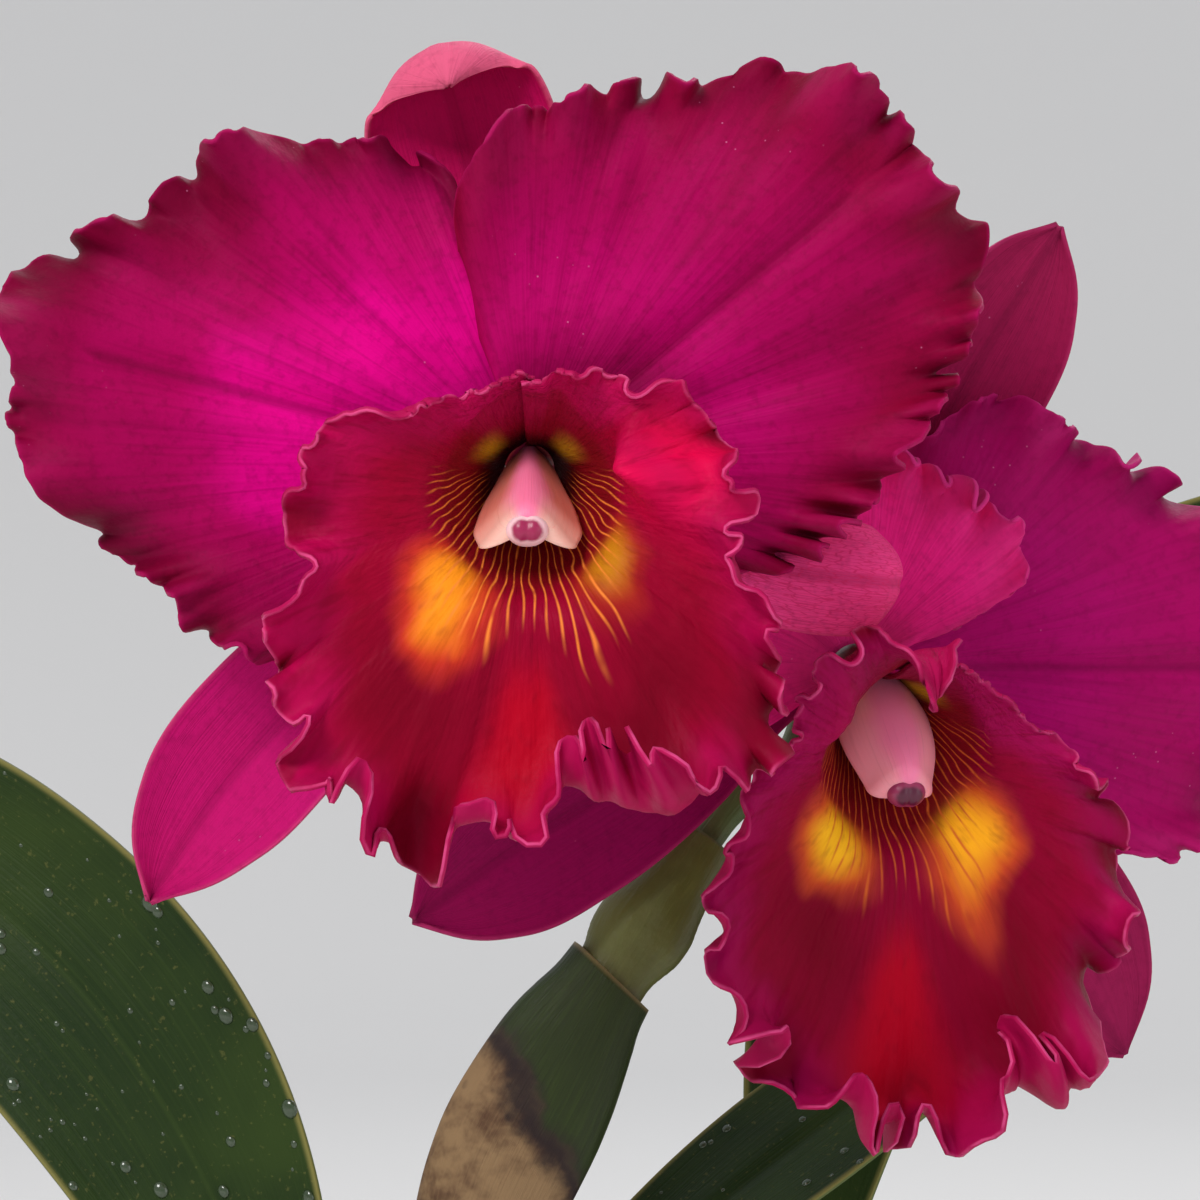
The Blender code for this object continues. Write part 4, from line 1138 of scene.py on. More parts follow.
def rippled(s: Array, angle: Array, frills: Sequence[Frill], seed: int | None = None) -> tuple[Array, Array]:
    """Slopes and sideways shifts of a frilled blade.

    Slope = sum of swing * ease(start, 1, s) * sin(waves * angle + phase + drift) * calm, and the sideways
    shift is the sum of -pinch * sin(2 * wave) / waves, grown in the same way.

    Args:
        s: share of the reach of each row.
        angle: the columns' angles in radians.
        frills: the waves.
        seed: seed of the slow noise that makes drift and calm; without it drift is 0 and calm is 1.

    Returns:
        Slope in radians and shift in radians, both as (rows, columns).
    """
    slope = np.zeros((len(s), len(angle)))
    shift = np.zeros_like(slope)
    for k, frill in enumerate(frills):
        wave = frill.waves * angle + math.radians(frill.phase)
        calm = np.ones_like(angle)
        if seed is not None:
            wave = wave + 1.6 * ripple(angle, 0.0, 0.22 * frill.waves, seed + 11 * k, 1)
            uneven = ripple(angle, 0.0, 0.20 * frill.waves, seed + 7 + 13 * k, 1)
            calm = np.clip(0.85 + 0.75 * uneven, 0.10, 1.6)
        if frill.zone is not None:
            calm = calm * bell(*frill.zone, np.degrees(angle))
        grow = ease(frill.start, 1.0, s)
        slope += np.outer(grow, np.sin(wave) * calm) * frill.swing
        shift -= np.outer(grow, np.sin(2.0 * wave) * calm) * frill.pinch / frill.waves
    return np.radians(slope), shift


def folded(s: Array, angle: Array, folds: Sequence[Fold]) -> Array:
    """Slopes of single folds: the sum of swing * ease(start, 1, s) * bell(angle).

    Args:
        s: share of the reach of each row.
        angle: the columns' angles in radians.
        folds: the folds.

    Returns:
        Slope in radians as (rows, columns).
    """
    slope = np.zeros((len(s), len(angle)))
    for fold in folds:
        near = bell(fold.centre, fold.width, np.degrees(angle))
        slope += np.outer(ease(fold.start, 1.0, s), near) * fold.swing
    return np.radians(slope)


def rim_distance(grid: Array) -> Array:
    """Metres from each grid point along its column to the last row."""
    steps = np.linalg.norm(np.diff(grid, axis=0), axis=2)
    return np.concatenate([np.cumsum(steps[::-1], axis=0)[::-1], np.zeros((1, grid.shape[1]))])


@dataclass(frozen=True)
class PetalShape:
    """A broad ruffled petal, as rays that leave the claw."""

    outline: Pairs
    depth: float
    midvein: float
    pitch: Pairs
    frills: tuple[Frill, ...]
    folds: tuple[Fold, ...]
    crisps: tuple[Frill, ...]
    seed: int
    claw: float = 0.0046
    rows: int = 48
    columns: int = 400

    def surface(self) -> tuple[Array, dict[str, Array]]:
        """The petal's middle surface in the bloom's frame, and its marks.

        Along each ray the slope is pitch(s) + frills + folds. Out and up are the running sums of its cosine
        and sine, scaled so that the ray ends on the outline, and the crisps then bend the ray's end at the
        same length. A furrow of exp(-(d / 3.5 mm) squared) runs along the midvein, where d is the distance
        from it.

        Returns:
            The grid as (rows, columns, 3), and the marks for the finish.
        """
        degrees = np.linspace(self.outline[0][0], self.outline[-1][0], self.columns)
        angle = np.radians(degrees)
        s = 1.0 - (1.0 - np.linspace(0.0, 1.0, self.rows)) ** 1.5
        plain = np.radians(through(self.pitch, s))[:, None] + np.zeros_like(angle)
        waved = plain + rippled(s, angle, self.frills)[0] + folded(s, angle, self.folds)
        crisp, shift = rippled(s, angle, self.crisps, self.seed)
        nicks = 1.0 + 0.012 * ripple(angle, 0.0, 34.0, self.seed + 3, 3)
        scale = (through(self.outline, degrees) * nicks - self.claw) / running_sum(np.cos(waved), s)[-1]
        out, up = running_sum(np.cos(waved + crisp), s), running_sum(np.sin(waved + crisp), s)
        reach = self.claw + out * scale
        turned = angle + shift
        off = turned - math.radians(self.midvein)
        vein = np.hypot(reach * np.sin(off), 0.1 * (np.cos(off) < 0.0))
        along = (ease(0.05, 0.3, s) - ease(0.7, 1.0, s))[:, None]
        furrow = 0.0022 * bell(0.0, 0.0035, vein) * along
        second = 0.0011 * bell(0.0, 0.004, reach * np.sin(off + math.radians(22.0))) * along
        x, y = reach * np.cos(turned), reach * np.sin(turned)
        swell = 0.0012 * ripple(x, y, 120.0, self.seed + 5) * ease(0.1, 0.5, s)[:, None]
        grid = np.stack([x, y, self.depth + up * scale - furrow - second + swell], axis=-1)
        marks = {
            "reach": s[:, None],
            "ray": angle / (2 * math.pi),
            "vein": vein + 0.02 * ease(0.8, 1.0, s)[:, None],
            "rim": rim_distance(grid),
            "crest": np.clip((up - running_sum(np.sin(plain), s)) * scale / 0.004, -1.0, 1.0),
        }
        return grid, marks


@dataclass(frozen=True)
class SepalShape:
    """A long blade with a smooth rim: a midline that rises and turns, with arcs across it."""

    heading: float
    length: float
    half_width: float
    pitch: Pairs
    turn: Pairs
    cup: Pairs
    peak: float
    seed: int
    depth: float = -0.0052
    claw: float = 0.0046
    rows: int = 72
    columns: int = 34

    def width(self) -> Pairs:
        """Half width along the sepal: a narrow claw, its widest place at peak, and a blunt tip.

        Returns:
            (share of the length, half width) points.
        """
        half = self.half_width
        return (
            (0.0, 0.0030), (0.10, 0.0044), (0.30, 0.72 * half), (self.peak, half),
            (0.82, 0.86 * half), (0.93, 0.50 * half), (1.0, 0.04 * half),
        )

    def surface(self) -> tuple[Array, dict[str, Array]]:
        """The sepal's middle surface in the bloom's frame, and its marks.

        A shallow keel runs down the middle of the strap, which also gets a slow seeded wave.

        Returns:
            The grid as (rows, columns, 3), and the marks for the finish.
        """
        around = math.radians(self.heading)
        heading = np.array([math.cos(around), math.sin(around), 0.0])
        base = heading * self.claw + np.array([0.0, 0.0, self.depth])
        grid, t, x = strap(
            base, heading, np.array([0.0, 0.0, 1.0]), self.length, self.width(), self.pitch, self.turn,
            self.cup,
            self.rows, self.columns,
        )
        normal = grid_normals(grid)
        keel = -0.0005 * bell(0.0, 0.09, x) * ease(0.05, 0.3, t) * (1.0 - ease(0.75, 0.95, t))
        wave = 0.0006 * ripple(3.0 * t, x, 3.0, self.seed) * ease(0.2, 0.5, t)
        grid = grid + normal * (keel + wave)[..., None]
        half = through(self.width(), t)
        marks = {
            "reach": t,
            "ray": x * 0.16,
            "vein": np.abs(x) * half,
            "rim": np.minimum((1.0 - np.abs(x)) * half, (1.0 - t) * self.length),
            "crest": 0.0 * t,
        }
        return grid, marks


def strap(
    base: Array, heading: Array, facing: Array, length: float, width: Pairs, pitch: Pairs, turn: Pairs,
    cup: Pairs,
    rows: int, columns: int,
) -> tuple[Array, Array, Array]:
    """A long blade: the running sum of a turning heading, with an arc across it at each step.

    A point at share t along and x across (-1 to 1) is middle(t) + half(t) * (x * sinc(bend) * across +
    x * sin(bend / 2) * sinc(bend / 2) * normal), where bend = cup(t) * x.

    Args:
        base: where the midline starts.
        heading: its first direction, of length 1.
        facing: where the upper face looks, of length 1 and square to heading.
        length: of the midline.
        width: half width along it.
        pitch: degrees that it lifts towards facing, along it.
        turn: degrees that it swings sideways, along it.
        cup: degrees that each half of the arc across bends through, along it.
        rows: grid points along.
        columns: grid points across.

    Returns:
        The grid, and t and x at each of its points.
    """
    t = np.linspace(0.0, 1.0, rows)
    side = np.cross(facing, heading)
    rise, yaw = np.radians(through(pitch, t))[:, None], np.radians(through(turn, t))[:, None]
    flat = np.cos(yaw) * heading + np.sin(yaw) * side
    across = -np.sin(yaw) * heading + np.cos(yaw) * side
    forward = np.cos(rise) * flat + np.sin(rise) * facing
    normal = -np.sin(rise) * flat + np.cos(rise) * facing
    middle = base + length * running_sum(forward, t)
    x = np.sin(np.linspace(-1.0, 1.0, columns) * math.pi / 2)[None, :, None]
    bend = np.radians(through(cup, t))[:, None, None] * x
    half = through(width, t)[:, None, None]
    spread = x * np.sinc(bend / math.pi) * across[:, None, :]
    lift = x * np.sin(bend / 2) * np.sinc(bend / 2 / math.pi) * normal[:, None, :]
    grid = middle[:, None, :] + half * (spread + lift)
    return grid, np.broadcast_to(t[:, None], grid.shape[:2]), np.broadcast_to(x[..., 0], grid.shape[:2])


@dataclass(frozen=True)
class LipShape:
    """A lip: one sheet that leaves the foot as a tube round the column and opens into a ruffled limb."""

    outline: Pairs
    pitch: Pairs
    frills: tuple[Frill, ...]
    folds: tuple[Fold, ...]
    crisps: tuple[Frill, ...]
    curls: tuple[Fold, ...]
    bulges: tuple[tuple[float, float, float, float, float], ...]
    seed: int
    foot_radius: float = 0.0044
    foot_depth: float = 0.0016
    throat_depth: float = 0.0235
    throat_drop: float = 0.0055
    tube: Pairs = ((0.0, 0.0), (0.35, 0.20), (0.70, 0.58), (1.0, 1.0))
    throat: Pairs = (
        (90, 0.0165), (130, 0.0150), (180, 0.0148), (270, 0.0152), (360, 0.0148), (410, 0.0150),
        (450, 0.0165),
    )
    bend: float = 0.22
    mouth_slope: float = 62.0
    overlap: float = 5.0
    lap: float = 0.0006
    lean: float = 0.75
    tube_rows: int = 22
    limb_rows: int = 56
    columns: int = 480

    def surface(self) -> tuple[Array, dict[str, Array]]:
        """The lip's middle surface in the lip's frame, and its marks.

        The tube's reach grows from the foot to the throat's mouth by a profile. On the limb the slope
        turns from the mouth's to pitch(angle), plus the frills and folds. The running sums of its cosine
        and sine give out and up, scaled so that each ray ends on the outline, and the crisps and curls
        then bend the ray at the same length. A bulge (degrees, width, share, width, height) lifts a dome
        that leans towards the throat. Above the column the two margins overlap, one the lap in front of
        the other.

        Returns:
            The grid as (rows, columns, 3), and the marks for the finish.
        """
        first, last = self.outline[0][0] - self.overlap, self.outline[-1][0] + self.overlap
        degrees = np.linspace(first, last, self.columns)
        angle = np.radians(degrees)
        tube = np.linspace(0.0, 1.0, self.tube_rows)
        throat = through(self.throat, degrees)
        tube_reach = self.foot_radius + np.outer(through(self.tube, tube), throat - self.foot_radius)
        forward = self.foot_depth + tube * (self.throat_depth - self.foot_depth)
        tube_depth = np.repeat(forward[:, None], self.columns, 1)
        q = 1.0 - (1.0 - np.linspace(0.0, 1.0, self.limb_rows)) ** 1.35
        level = through(self.pitch, degrees)
        turn_out = 1.0 - ease(0.0, self.bend, q)
        plain = np.radians(level + np.outer(turn_out, self.mouth_slope - level))
        waved = plain + rippled(q, angle, self.frills)[0] + folded(q, angle, self.folds)
        crisp, shift = rippled(q, angle, self.crisps, self.seed)
        bent = waved + crisp + folded(q, angle, self.curls)
        nicks = 1.0 + 0.022 * ripple(angle, 0.0, 26.0, self.seed + 3, 3)
        scale = (through(self.outline, degrees) * nicks - throat) / running_sum(np.cos(waved), q)[-1]
        out, up = running_sum(np.cos(bent), q), running_sum(np.sin(bent), q)
        side = (degrees - 270.0) / 180.0
        lap = self.lap * np.sign(side) * ease(0.86, 1.0, np.abs(side))
        reach = np.concatenate([tube_reach - lap, (throat - lap + out * scale)[1:]])
        depth = np.concatenate([tube_depth, (self.throat_depth + up * scale)[1:]])
        share = np.concatenate([tube - 1.0, q[1:]])
        swollen = np.zeros_like(depth)
        for centre, width, middle, length, height in self.bulges:
            swollen += height * np.outer(bell(middle, length, share), bell(centre, width, degrees))
        depth, reach = depth + swollen, reach - self.lean * swollen
        turned = angle + np.concatenate([np.zeros_like(tube_reach), shift[1:]])
        drop = self.throat_drop * ease(-0.2, 1.0, np.minimum(depth / self.throat_depth, 1.0))
        grid = np.stack([reach * np.cos(turned), reach * np.sin(turned) - drop, depth + lap], axis=-1)
        # The bulges also raise the crest mark, which gives them a painted highlight on their tops.
        crest = (up - running_sum(np.sin(plain), q)) * scale / 0.005 + swollen[self.tube_rows - 1:] / 0.008
        marks = {
            "limb": share[:, None],
            "side": side,
            "rim": rim_distance(grid),
            "crest": np.clip(np.concatenate([np.zeros_like(tube_reach), crest[1:]]), -1.0, 1.0),
        }
        return grid, marks


@dataclass(frozen=True)
class ColumnShape:
    """The column: a round foot, a neck, and a hooded tip with a wing on each side."""

    axis: Pairs = ((0.0, 0.0), (0.0060, -0.0004), (0.0130, -0.0026), (0.0200, -0.0062), (0.0238, -0.0087))
    half_width: Pairs = (
        (0.0, 0.0034), (0.20, 0.0036), (0.50, 0.0054), (0.78, 0.0080), (0.90, 0.0086), (1.0, 0.0078),
    )
    half_depth: Pairs = ((0.0, 0.0036), (0.25, 0.0036), (0.60, 0.0036), (1.0, 0.0034))
    droop: Pairs = ((0.0, 0.0), (0.30, 0.0), (0.60, 0.0018), (0.85, 0.0040), (1.0, 0.0046))
    tip: float = 0.0042
    foot_radius: float = 0.0040
    foot_back: float = -0.0075
    foot_levels: tuple[float, ...] = (-0.0055, -0.0040, -0.0020, -0.0004)
    hood_rings: int = 31
    buried_rings: int = 2
    tip_rings: int = 7
    tip_span: tuple[float, float] = (0.12, 0.97)
    ridge: float = 0.70
    anther: tuple[float, float] = (0.0268, -0.0110)
    anther_half: Point = (0.0034, 0.0026, 0.0026)
    sides: int = 56

    def rings(self, whorl: Array, lip: Array, place: Array) -> Array:
        """Rings of the foot, square to the whorl, and then of the hood, square to the column's axis.

        Args:
            whorl: frame of the bloom's tepals.
            lip: frame of the lip and column.
            place: the bloom's centre.

        Returns:
            Rings as (count, sides, 3).
        """
        angle = round_angles(self.sides)
        narrow = 1.0 - self.ridge * np.clip(np.sin(angle), 0.0, 1.0)
        circle = np.cos(angle)[:, None] * whorl[:, 0] + np.sin(angle)[:, None] * whorl[:, 1]
        levels = (self.foot_back, *self.foot_levels)
        foot = [place + whorl[:, 2] * z + circle * self.foot_radius for z in levels]
        axis = np.array([(0.0, drop, depth) for depth, drop in self.axis]) @ lip.T + place
        path = smooth_path(axis, self.hood_rings)[self.buried_rings:]
        share = np.linspace(0.0, 1.0, self.hood_rings)[self.buried_rings:]
        ahead = unit(path[-1] - path[-2])
        tip = np.linspace(*self.tip_span, self.tip_rings)
        blunt = np.concatenate([np.ones(len(path)), np.sqrt(1.0 - tip**2)])
        path = np.concatenate([path, path[-1:] + np.outer(tip, ahead) * self.tip])
        share = np.concatenate([share, np.ones(self.tip_rings)])
        wide, deep = through(self.half_width, share) * blunt, through(self.half_depth, share) * blunt
        hood = section_rings(path, lip[:, 0], wide, deep, self.sides)
        centre = path[:, None, :]
        sideways = ((hood - centre) @ lip[:, 0])[..., None] * lip[:, 0]
        hood = hood - sideways * (1.0 - narrow)[None, :, None] * (1.0 - 0.5 * share)[:, None, None]
        droop = (through(self.droop, share) * blunt)[:, None, None]
        hood = hood - droop * (np.cos(angle) ** 2)[None, :, None] * lip[:, 1]
        hollow = 0.0022 * np.outer(ease(0.55, 0.9, share) * blunt, np.clip(-np.sin(angle), 0, 1))
        return np.concatenate([foot, hood + hollow[..., None] * lip[:, 1]])

    def body(self, whorl: Array, lip: Array, place: Array) -> Body:
        """The column's faces.

        Args:
            whorl: frame of the bloom's tepals.
            lip: frame of the lip and column.
            place: the bloom's centre.

        Returns:
            The faces with the marks "cross", "under" and "reach".
        """
        rings = self.rings(whorl, lip, place)
        angle = round_angles(self.sides)
        marks = {
            "cross": np.cos(angle),
            "under": ease(0.0, 0.5, -np.sin(angle)),
            "reach": np.linspace(0.0, 1.0, len(rings))[:, None],
        }
        return ring_body(rings, marks)

    def cap(self, lip: Array, place: Array) -> Body:
        """The anther cap: an ellipsoid with a shallow groove down its middle, in two lobes.

        Args:
            lip: frame of the lip and column.
            place: the bloom's centre.

        Returns:
            The faces with the mark "ring".
        """
        x, y, z = np.moveaxis(ball_grid(np.linspace(-0.47 * math.pi, 0.47 * math.pi, 20), 32), -1, 0)
        groove = 1.0 - 0.16 * bell(0.0, 0.22, x) * ease(-0.2, 0.6, z)
        lobes = np.stack([x, y * groove, z * groove], -1) * self.anther_half
        centre = lip @ np.array([0.0, self.anther[1], self.anther[0]]) + place
        upper = ease(-0.3, 0.1, z)
        return ring_body(lobes @ lip.T + centre, {"ring": np.hypot(x, y) * upper + (1.0 - upper)})


@dataclass(frozen=True)
class Bloom:
    """One flower: three sepals, two petals, a lip, a column with its anther cap, and an ovary behind."""

    key: str
    place: Point
    whorl_turn: tuple[float, float]
    lip_turn: tuple[float, float]
    sepals: dict[str, SepalShape]
    petals: dict[str, PetalShape]
    lip: LipShape
    pedicel: tuple[Point, ...]
    tepal_finishes: dict[str, TepalFinish]
    lip_finish: LipFinish
    column_finish: ColumnFinish
    anther_finish: AntherFinish
    column: ColumnShape = ColumnShape()
    thickness: float = 0.0008
    gap: float = 0.0003
    stalk_rings: int = 60
    stalk_sides: int = 36
    bract_length: float = 0.0105

    def build(self, skin: Material) -> None:
        """Make every organ of the bloom.

        Args:
            skin: finish of the green stalk and bract.
        """
        whorl, lip = turned_frame(*self.whorl_turn), turned_frame(*self.lip_turn)
        place = np.array(self.place)
        coats = {name: finish.build() for name, finish in self.tepal_finishes.items()}
        tepals = [(f"petal_{side}", shape, "petal_magenta") for side, shape in self.petals.items()]
        tepals += [(f"sepal_{side}", shape, "sepal_pink") for side, shape in self.sepals.items()]
        for name, shape, slot in tepals:
            grid, marks = shape.surface()
            body = thin_body(grid @ whorl.T + place, self.thickness, marks)
            dress(f"{self.key}_{name}", body, coats[name])
        grid, marks = self.lip.surface()
        lip_body = thin_body(grid @ lip.T + place, self.thickness, marks)
        organs = (
            ("lip", lip_body, self.lip_finish, "lip_crimson"),
            ("column", self.column.body(whorl, lip, place), self.column_finish, "column_pink"),
            ("anther", self.column.cap(lip, place), self.anther_finish, "anther_white"),
        )
        for name, body, finish, slot in organs:
            dress(f"{self.key}_{name}", body, finish.build())
        self.build_stalk(whorl, place, skin)

    def build_stalk(self, whorl: Array, place: Array, skin: Material) -> None:
        """Make the pedicel, which swells into a six-ribbed ovary, and the small bract at its foot.

        Args:
            whorl: frame of the bloom's tepals.
            place: the bloom's centre.
            skin: finish of both.
        """
        front = whorl[:, 2]
        back = place + front * (self.column.foot_back - 2.0 * self.gap)
        path = smooth_path([*self.pedicel, back - front * 0.012, back], self.stalk_rings)
        share = np.linspace(0.0, 1.0, self.stalk_rings)
        swell = ((0.0, 0.0022), (0.45, 0.0022), (0.75, 0.0032), (0.95, 0.0036), (1.0, 0.0034))
        radii = through(swell, share)
        rings = section_rings(path, (0.0, 0.0, 1.0), radii, radii, self.stalk_sides)
        rib = 1.0 + 0.10 * np.cos(6 * round_angles(self.stalk_sides)) * share[:, None]
        body = ring_body(swollen(path, rings, rib), {"dry": 0.0})
        dress(f"{self.key}_pedicel", body, skin)
        start, onward = (np.array(point) for point in self.pedicel[:2])
        heading = unit(onward - start)
        facing = unit(np.cross(heading, (0.35, 1.0, 0.0)))
        foot = start + heading * 0.0008 - facing * 0.0034
        width = ((0.0, 0.0030), (0.4, 0.0034), (0.8, 0.0016), (1.0, 0.0002))
        pitch, cup = ((0.0, -2.0), (1.0, -14.0)), ((0.0, 56.0), (1.0, 40.0))
        grid, t, _ = strap(
            foot, heading, facing, self.bract_length, width, pitch, ((0.0, 0.0), (1.0, 0.0)), cup, 30, 18
        )
        body = thin_body(grid, self.thickness, {"dry": ease(0.7, 1.0, t)})
        dress(f"{self.key}_bract", body, skin)


# The leaves


@dataclass(frozen=True)
class LeafShape:
    """One thick leaf, folded at its stalk, which is seated in its bulb, and channelled along its midrib."""

    base: Point
    heading: Point
    facing: Point
    length: float
    half_width: float
    pitch: Pairs
    turn: Pairs
    seed: int
    cup: Pairs = ((0.0, 62.0), (0.15, 48.0), (0.35, 26.0), (1.0, 18.0))
    thickness: float = 0.0020
    seat: float = 0.0030
    rows: int = 110
    columns: int = 40

    def width(self) -> Pairs:
        """Half width along the leaf: a folded stalk, a long even blade, and a rounded tip.

        Returns:
            (share of the length, half width) points.
        """
        half = self.half_width
        return (
            (0.0, 0.0052), (0.06, 0.0060), (0.18, 0.60 * half), (0.40, 0.95 * half), (0.62, half),
            (0.82, 0.78 * half), (0.94, 0.40 * half), (1.0, 0.03 * half),
        )

    def surface(self) -> tuple[Array, Array, Array]:
        """The leaf's middle surface, and t and x at each of its points.

        The strap's arc gets a narrow channel, 0.9 mm deep, along the midrib and a slow seeded wave.

        Returns:
            The grid as (rows, columns, 3), and t and x as (rows, columns).
        """
        heading = unit(self.heading)
        facing = np.array(self.facing)
        facing = unit(facing - heading * facing.dot(heading))
        grid, t, x = strap(
            np.array(self.base) - heading * self.seat, heading, facing, self.length + self.seat,
            self.width(),
            self.pitch, self.turn, self.cup, self.rows, self.columns,
        )
        half = through(self.width(), t)
        channel = -0.0009 * bell(0.0, 0.0013, x * half) * ease(0.04, 0.15, t) * (1.0 - ease(0.88, 1.0, t))
        wave = 0.0007 * ripple(4.0 * t, 1.4 * x, 2.2, self.seed) * ease(0.15, 0.4, t)
        return grid + grid_normals(grid) * (channel + wave)[..., None], t, x

    def body(self) -> Body:
        """The leaf's faces: thick in the middle and thin at the margins.

        Returns:
            The faces with the marks "reach", "cross" and "rim".
        """
        grid, t, x = self.surface()
        half = through(self.width(), t)
        marks = {
            "reach": t,
            "cross": x,
            "rim": np.minimum((1.0 - np.abs(x)) * half, (1.0 - t) * self.length),
        }
        return thin_body(grid, self.depth(x), marks)

    def depth(self, x: Array) -> Array:
        """Thickness at places across the leaf, which is 0.35 of the middle's at the margins."""
        return self.thickness * (0.35 + 0.65 * np.sqrt(1.0 - x**2))


@dataclass(frozen=True)
class Drops:
    """Water drops that lie on a leaf's upper face: flat domes, a little longer down the leaf."""

    leaf: str
    count: int
    span: tuple[float, float]
    small: float
    large: float
    seed: int
    sunk: float = 0.00006

    def body(self, shape: LeafShape) -> Body:
        """All drops of the leaf as closed domes, sized by a seeded draw that favours small ones.

        Dome point = foot + radius * (x * side + 1.2 * y * along + 0.55 * z * up) of a ball's point, sunk
        slightly into the leaf.

        Args:
            shape: the leaf that they lie on.

        Returns:
            The drops' faces.
        """
        rng = np.random.default_rng(self.seed)
        grid, _, x = shape.surface()
        rows = (self.span[0] + rng.random(self.count) * (self.span[1] - self.span[0])) * (shape.rows - 1)
        columns = rng.uniform(4, shape.columns - 5, self.count)
        i, j = rows.astype(int), columns.astype(int)
        along = np.gradient(grid, axis=0)[i, j]
        along /= np.linalg.norm(along, axis=1, keepdims=True)
        up = grid_normals(grid)[i, j]
        up *= np.sign(up @ np.array(shape.facing))[:, None]
        side = np.cross(along, up)
        foot = grid[i, j] + up * (shape.depth(x[i, j]) / 2 - self.sunk)[:, None]
        radius = self.small + (self.large - self.small) * rng.random(self.count) ** 3
        dome = ball_grid(np.linspace(0.0, 0.46 * math.pi, 6), 12) * (1.0, 1.2, 0.55)
        bodies = []
        for k in range(self.count):
            axes = np.stack([side[k], along[k], up[k]])
            bodies.append(ring_body(foot[k] + radius[k] * (dome @ axes)))
        return joined(bodies)


@dataclass(frozen=True)
class Foliage:
    """The three leaves with the water on them."""

    leaves: dict[str, LeafShape]
    finish: LeafFinish
    drops: tuple[Drops, ...]

    def build(self) -> None:
        """Make the leaves and their drops."""
        coat = self.finish.build()
        for name, shape in self.leaves.items():
            dress(name, shape.body(), coat)
        water = DropFinish().build()
        for drops in self.drops:
            add_piece(f"drops_on_{drops.leaf}", drops.body(self.leaves[drops.leaf]), water)


# The flower stem with its sleeves


@dataclass(frozen=True)
class Sleeve:
    """A flattened sleeve round the stem, from one share of its length to another."""

    ends: tuple[float, float]
    width: Pairs
    depth: Pairs
    wall: float = 0.0010
    slope: float = 0.0
    sides: int = 72
    count: int = 64

    def body(self, line: Array) -> Body:
        """The sleeve's faces, up its outside and down its inside.

        Each ring is an ellipse drawn out to a keel on its two sides by 5 % * (1 - |sin|) cubed, and a
        little crinkled. The mouth is cut on a slant: a point moves along the stem by slope * cos(angle) *
        length * v to the fourth.

        Args:
            line: even steps along the stem's middle.

        Returns:
            The faces with the marks "height", "slant", "rim" and "dry".
        """
        last = len(line) - 1
        picks = np.linspace(self.ends[0] * last, self.ends[1] * last, self.count).round().astype(int)
        path = line[picks]
        share = np.linspace(0.0, 1.0, self.count)
        wide, deep = through(self.width, share), through(self.depth, share)
        angle = round_angles(self.sides)
        tangents = np.gradient(path, axis=0)
        length = float(np.linalg.norm(np.diff(path, axis=0), axis=1).sum())
        tangents /= np.linalg.norm(tangents, axis=1, keepdims=True)
        keel = 1.0 + 0.05 * (1.0 - np.abs(np.sin(angle))) ** 3
        crinkle = ripple(2.0 * np.cos(angle)[None, :], 5.0 * share[:, None], 2.0, 31, 3)
        grown = keel[None, :] * (1.0 + 0.02 * crinkle * ease(0.0, 0.3, share)[:, None])
        walls = []
        for inset in (0.0, self.wall):
            rings = section_rings(path, (1.0, 0.0, 0.0), wide - inset, deep - inset, self.sides)
            slant = (share**4)[:, None] * np.cos(angle)[None, :] * self.slope * length
            walls.append(swollen(path, rings, grown) + slant[..., None] * tangents[:, None, :])
        height = np.concatenate([share, share[::-1]])[:, None]
        marks = {
            "height": height,
            "slant": np.cos(angle),
            "rim": (1.0 - height) * length,
            "face": np.repeat([1.0, 0.0], self.count)[:, None],
            "dry": 0.0,
        }
        return ring_body(np.concatenate([walls[0], walls[1][::-1]]), marks, loop=True)


@dataclass(frozen=True)
class Spike:
    """The flower stem, the dry sheath round its foot and the green bract above it."""

    path: tuple[Point, ...]
    radius: float
    sheath: Sleeve
    bract: Sleeve
    line_points: int = 401
    rings: int = 90
    sides: int = 32

    def build(self, skin: Material, leafy: Material) -> None:
        """Make the stem and its two sleeves.

        Args:
            skin: finish of the stem.
            leafy: finish of the bract.
        """
        line = smooth_path(self.path, self.line_points)
        stem = smooth_path(self.path, self.rings)
        radii = self.radius * (1.0 + 0.35 * ease(0.93, 1.0, np.linspace(0.0, 1.0, self.rings)))
        rings = section_rings(stem, (1.0, 0.13, 0.0), radii, radii, self.sides)
        dress("flower_stem", ring_body(rings, {"dry": 0.0}), skin)
        dress("sheath", self.sheath.body(line), SheathFinish().build())
        dress("stem_bract", self.bract.body(line), leafy)


# The bulbs, the rhizome and the pot


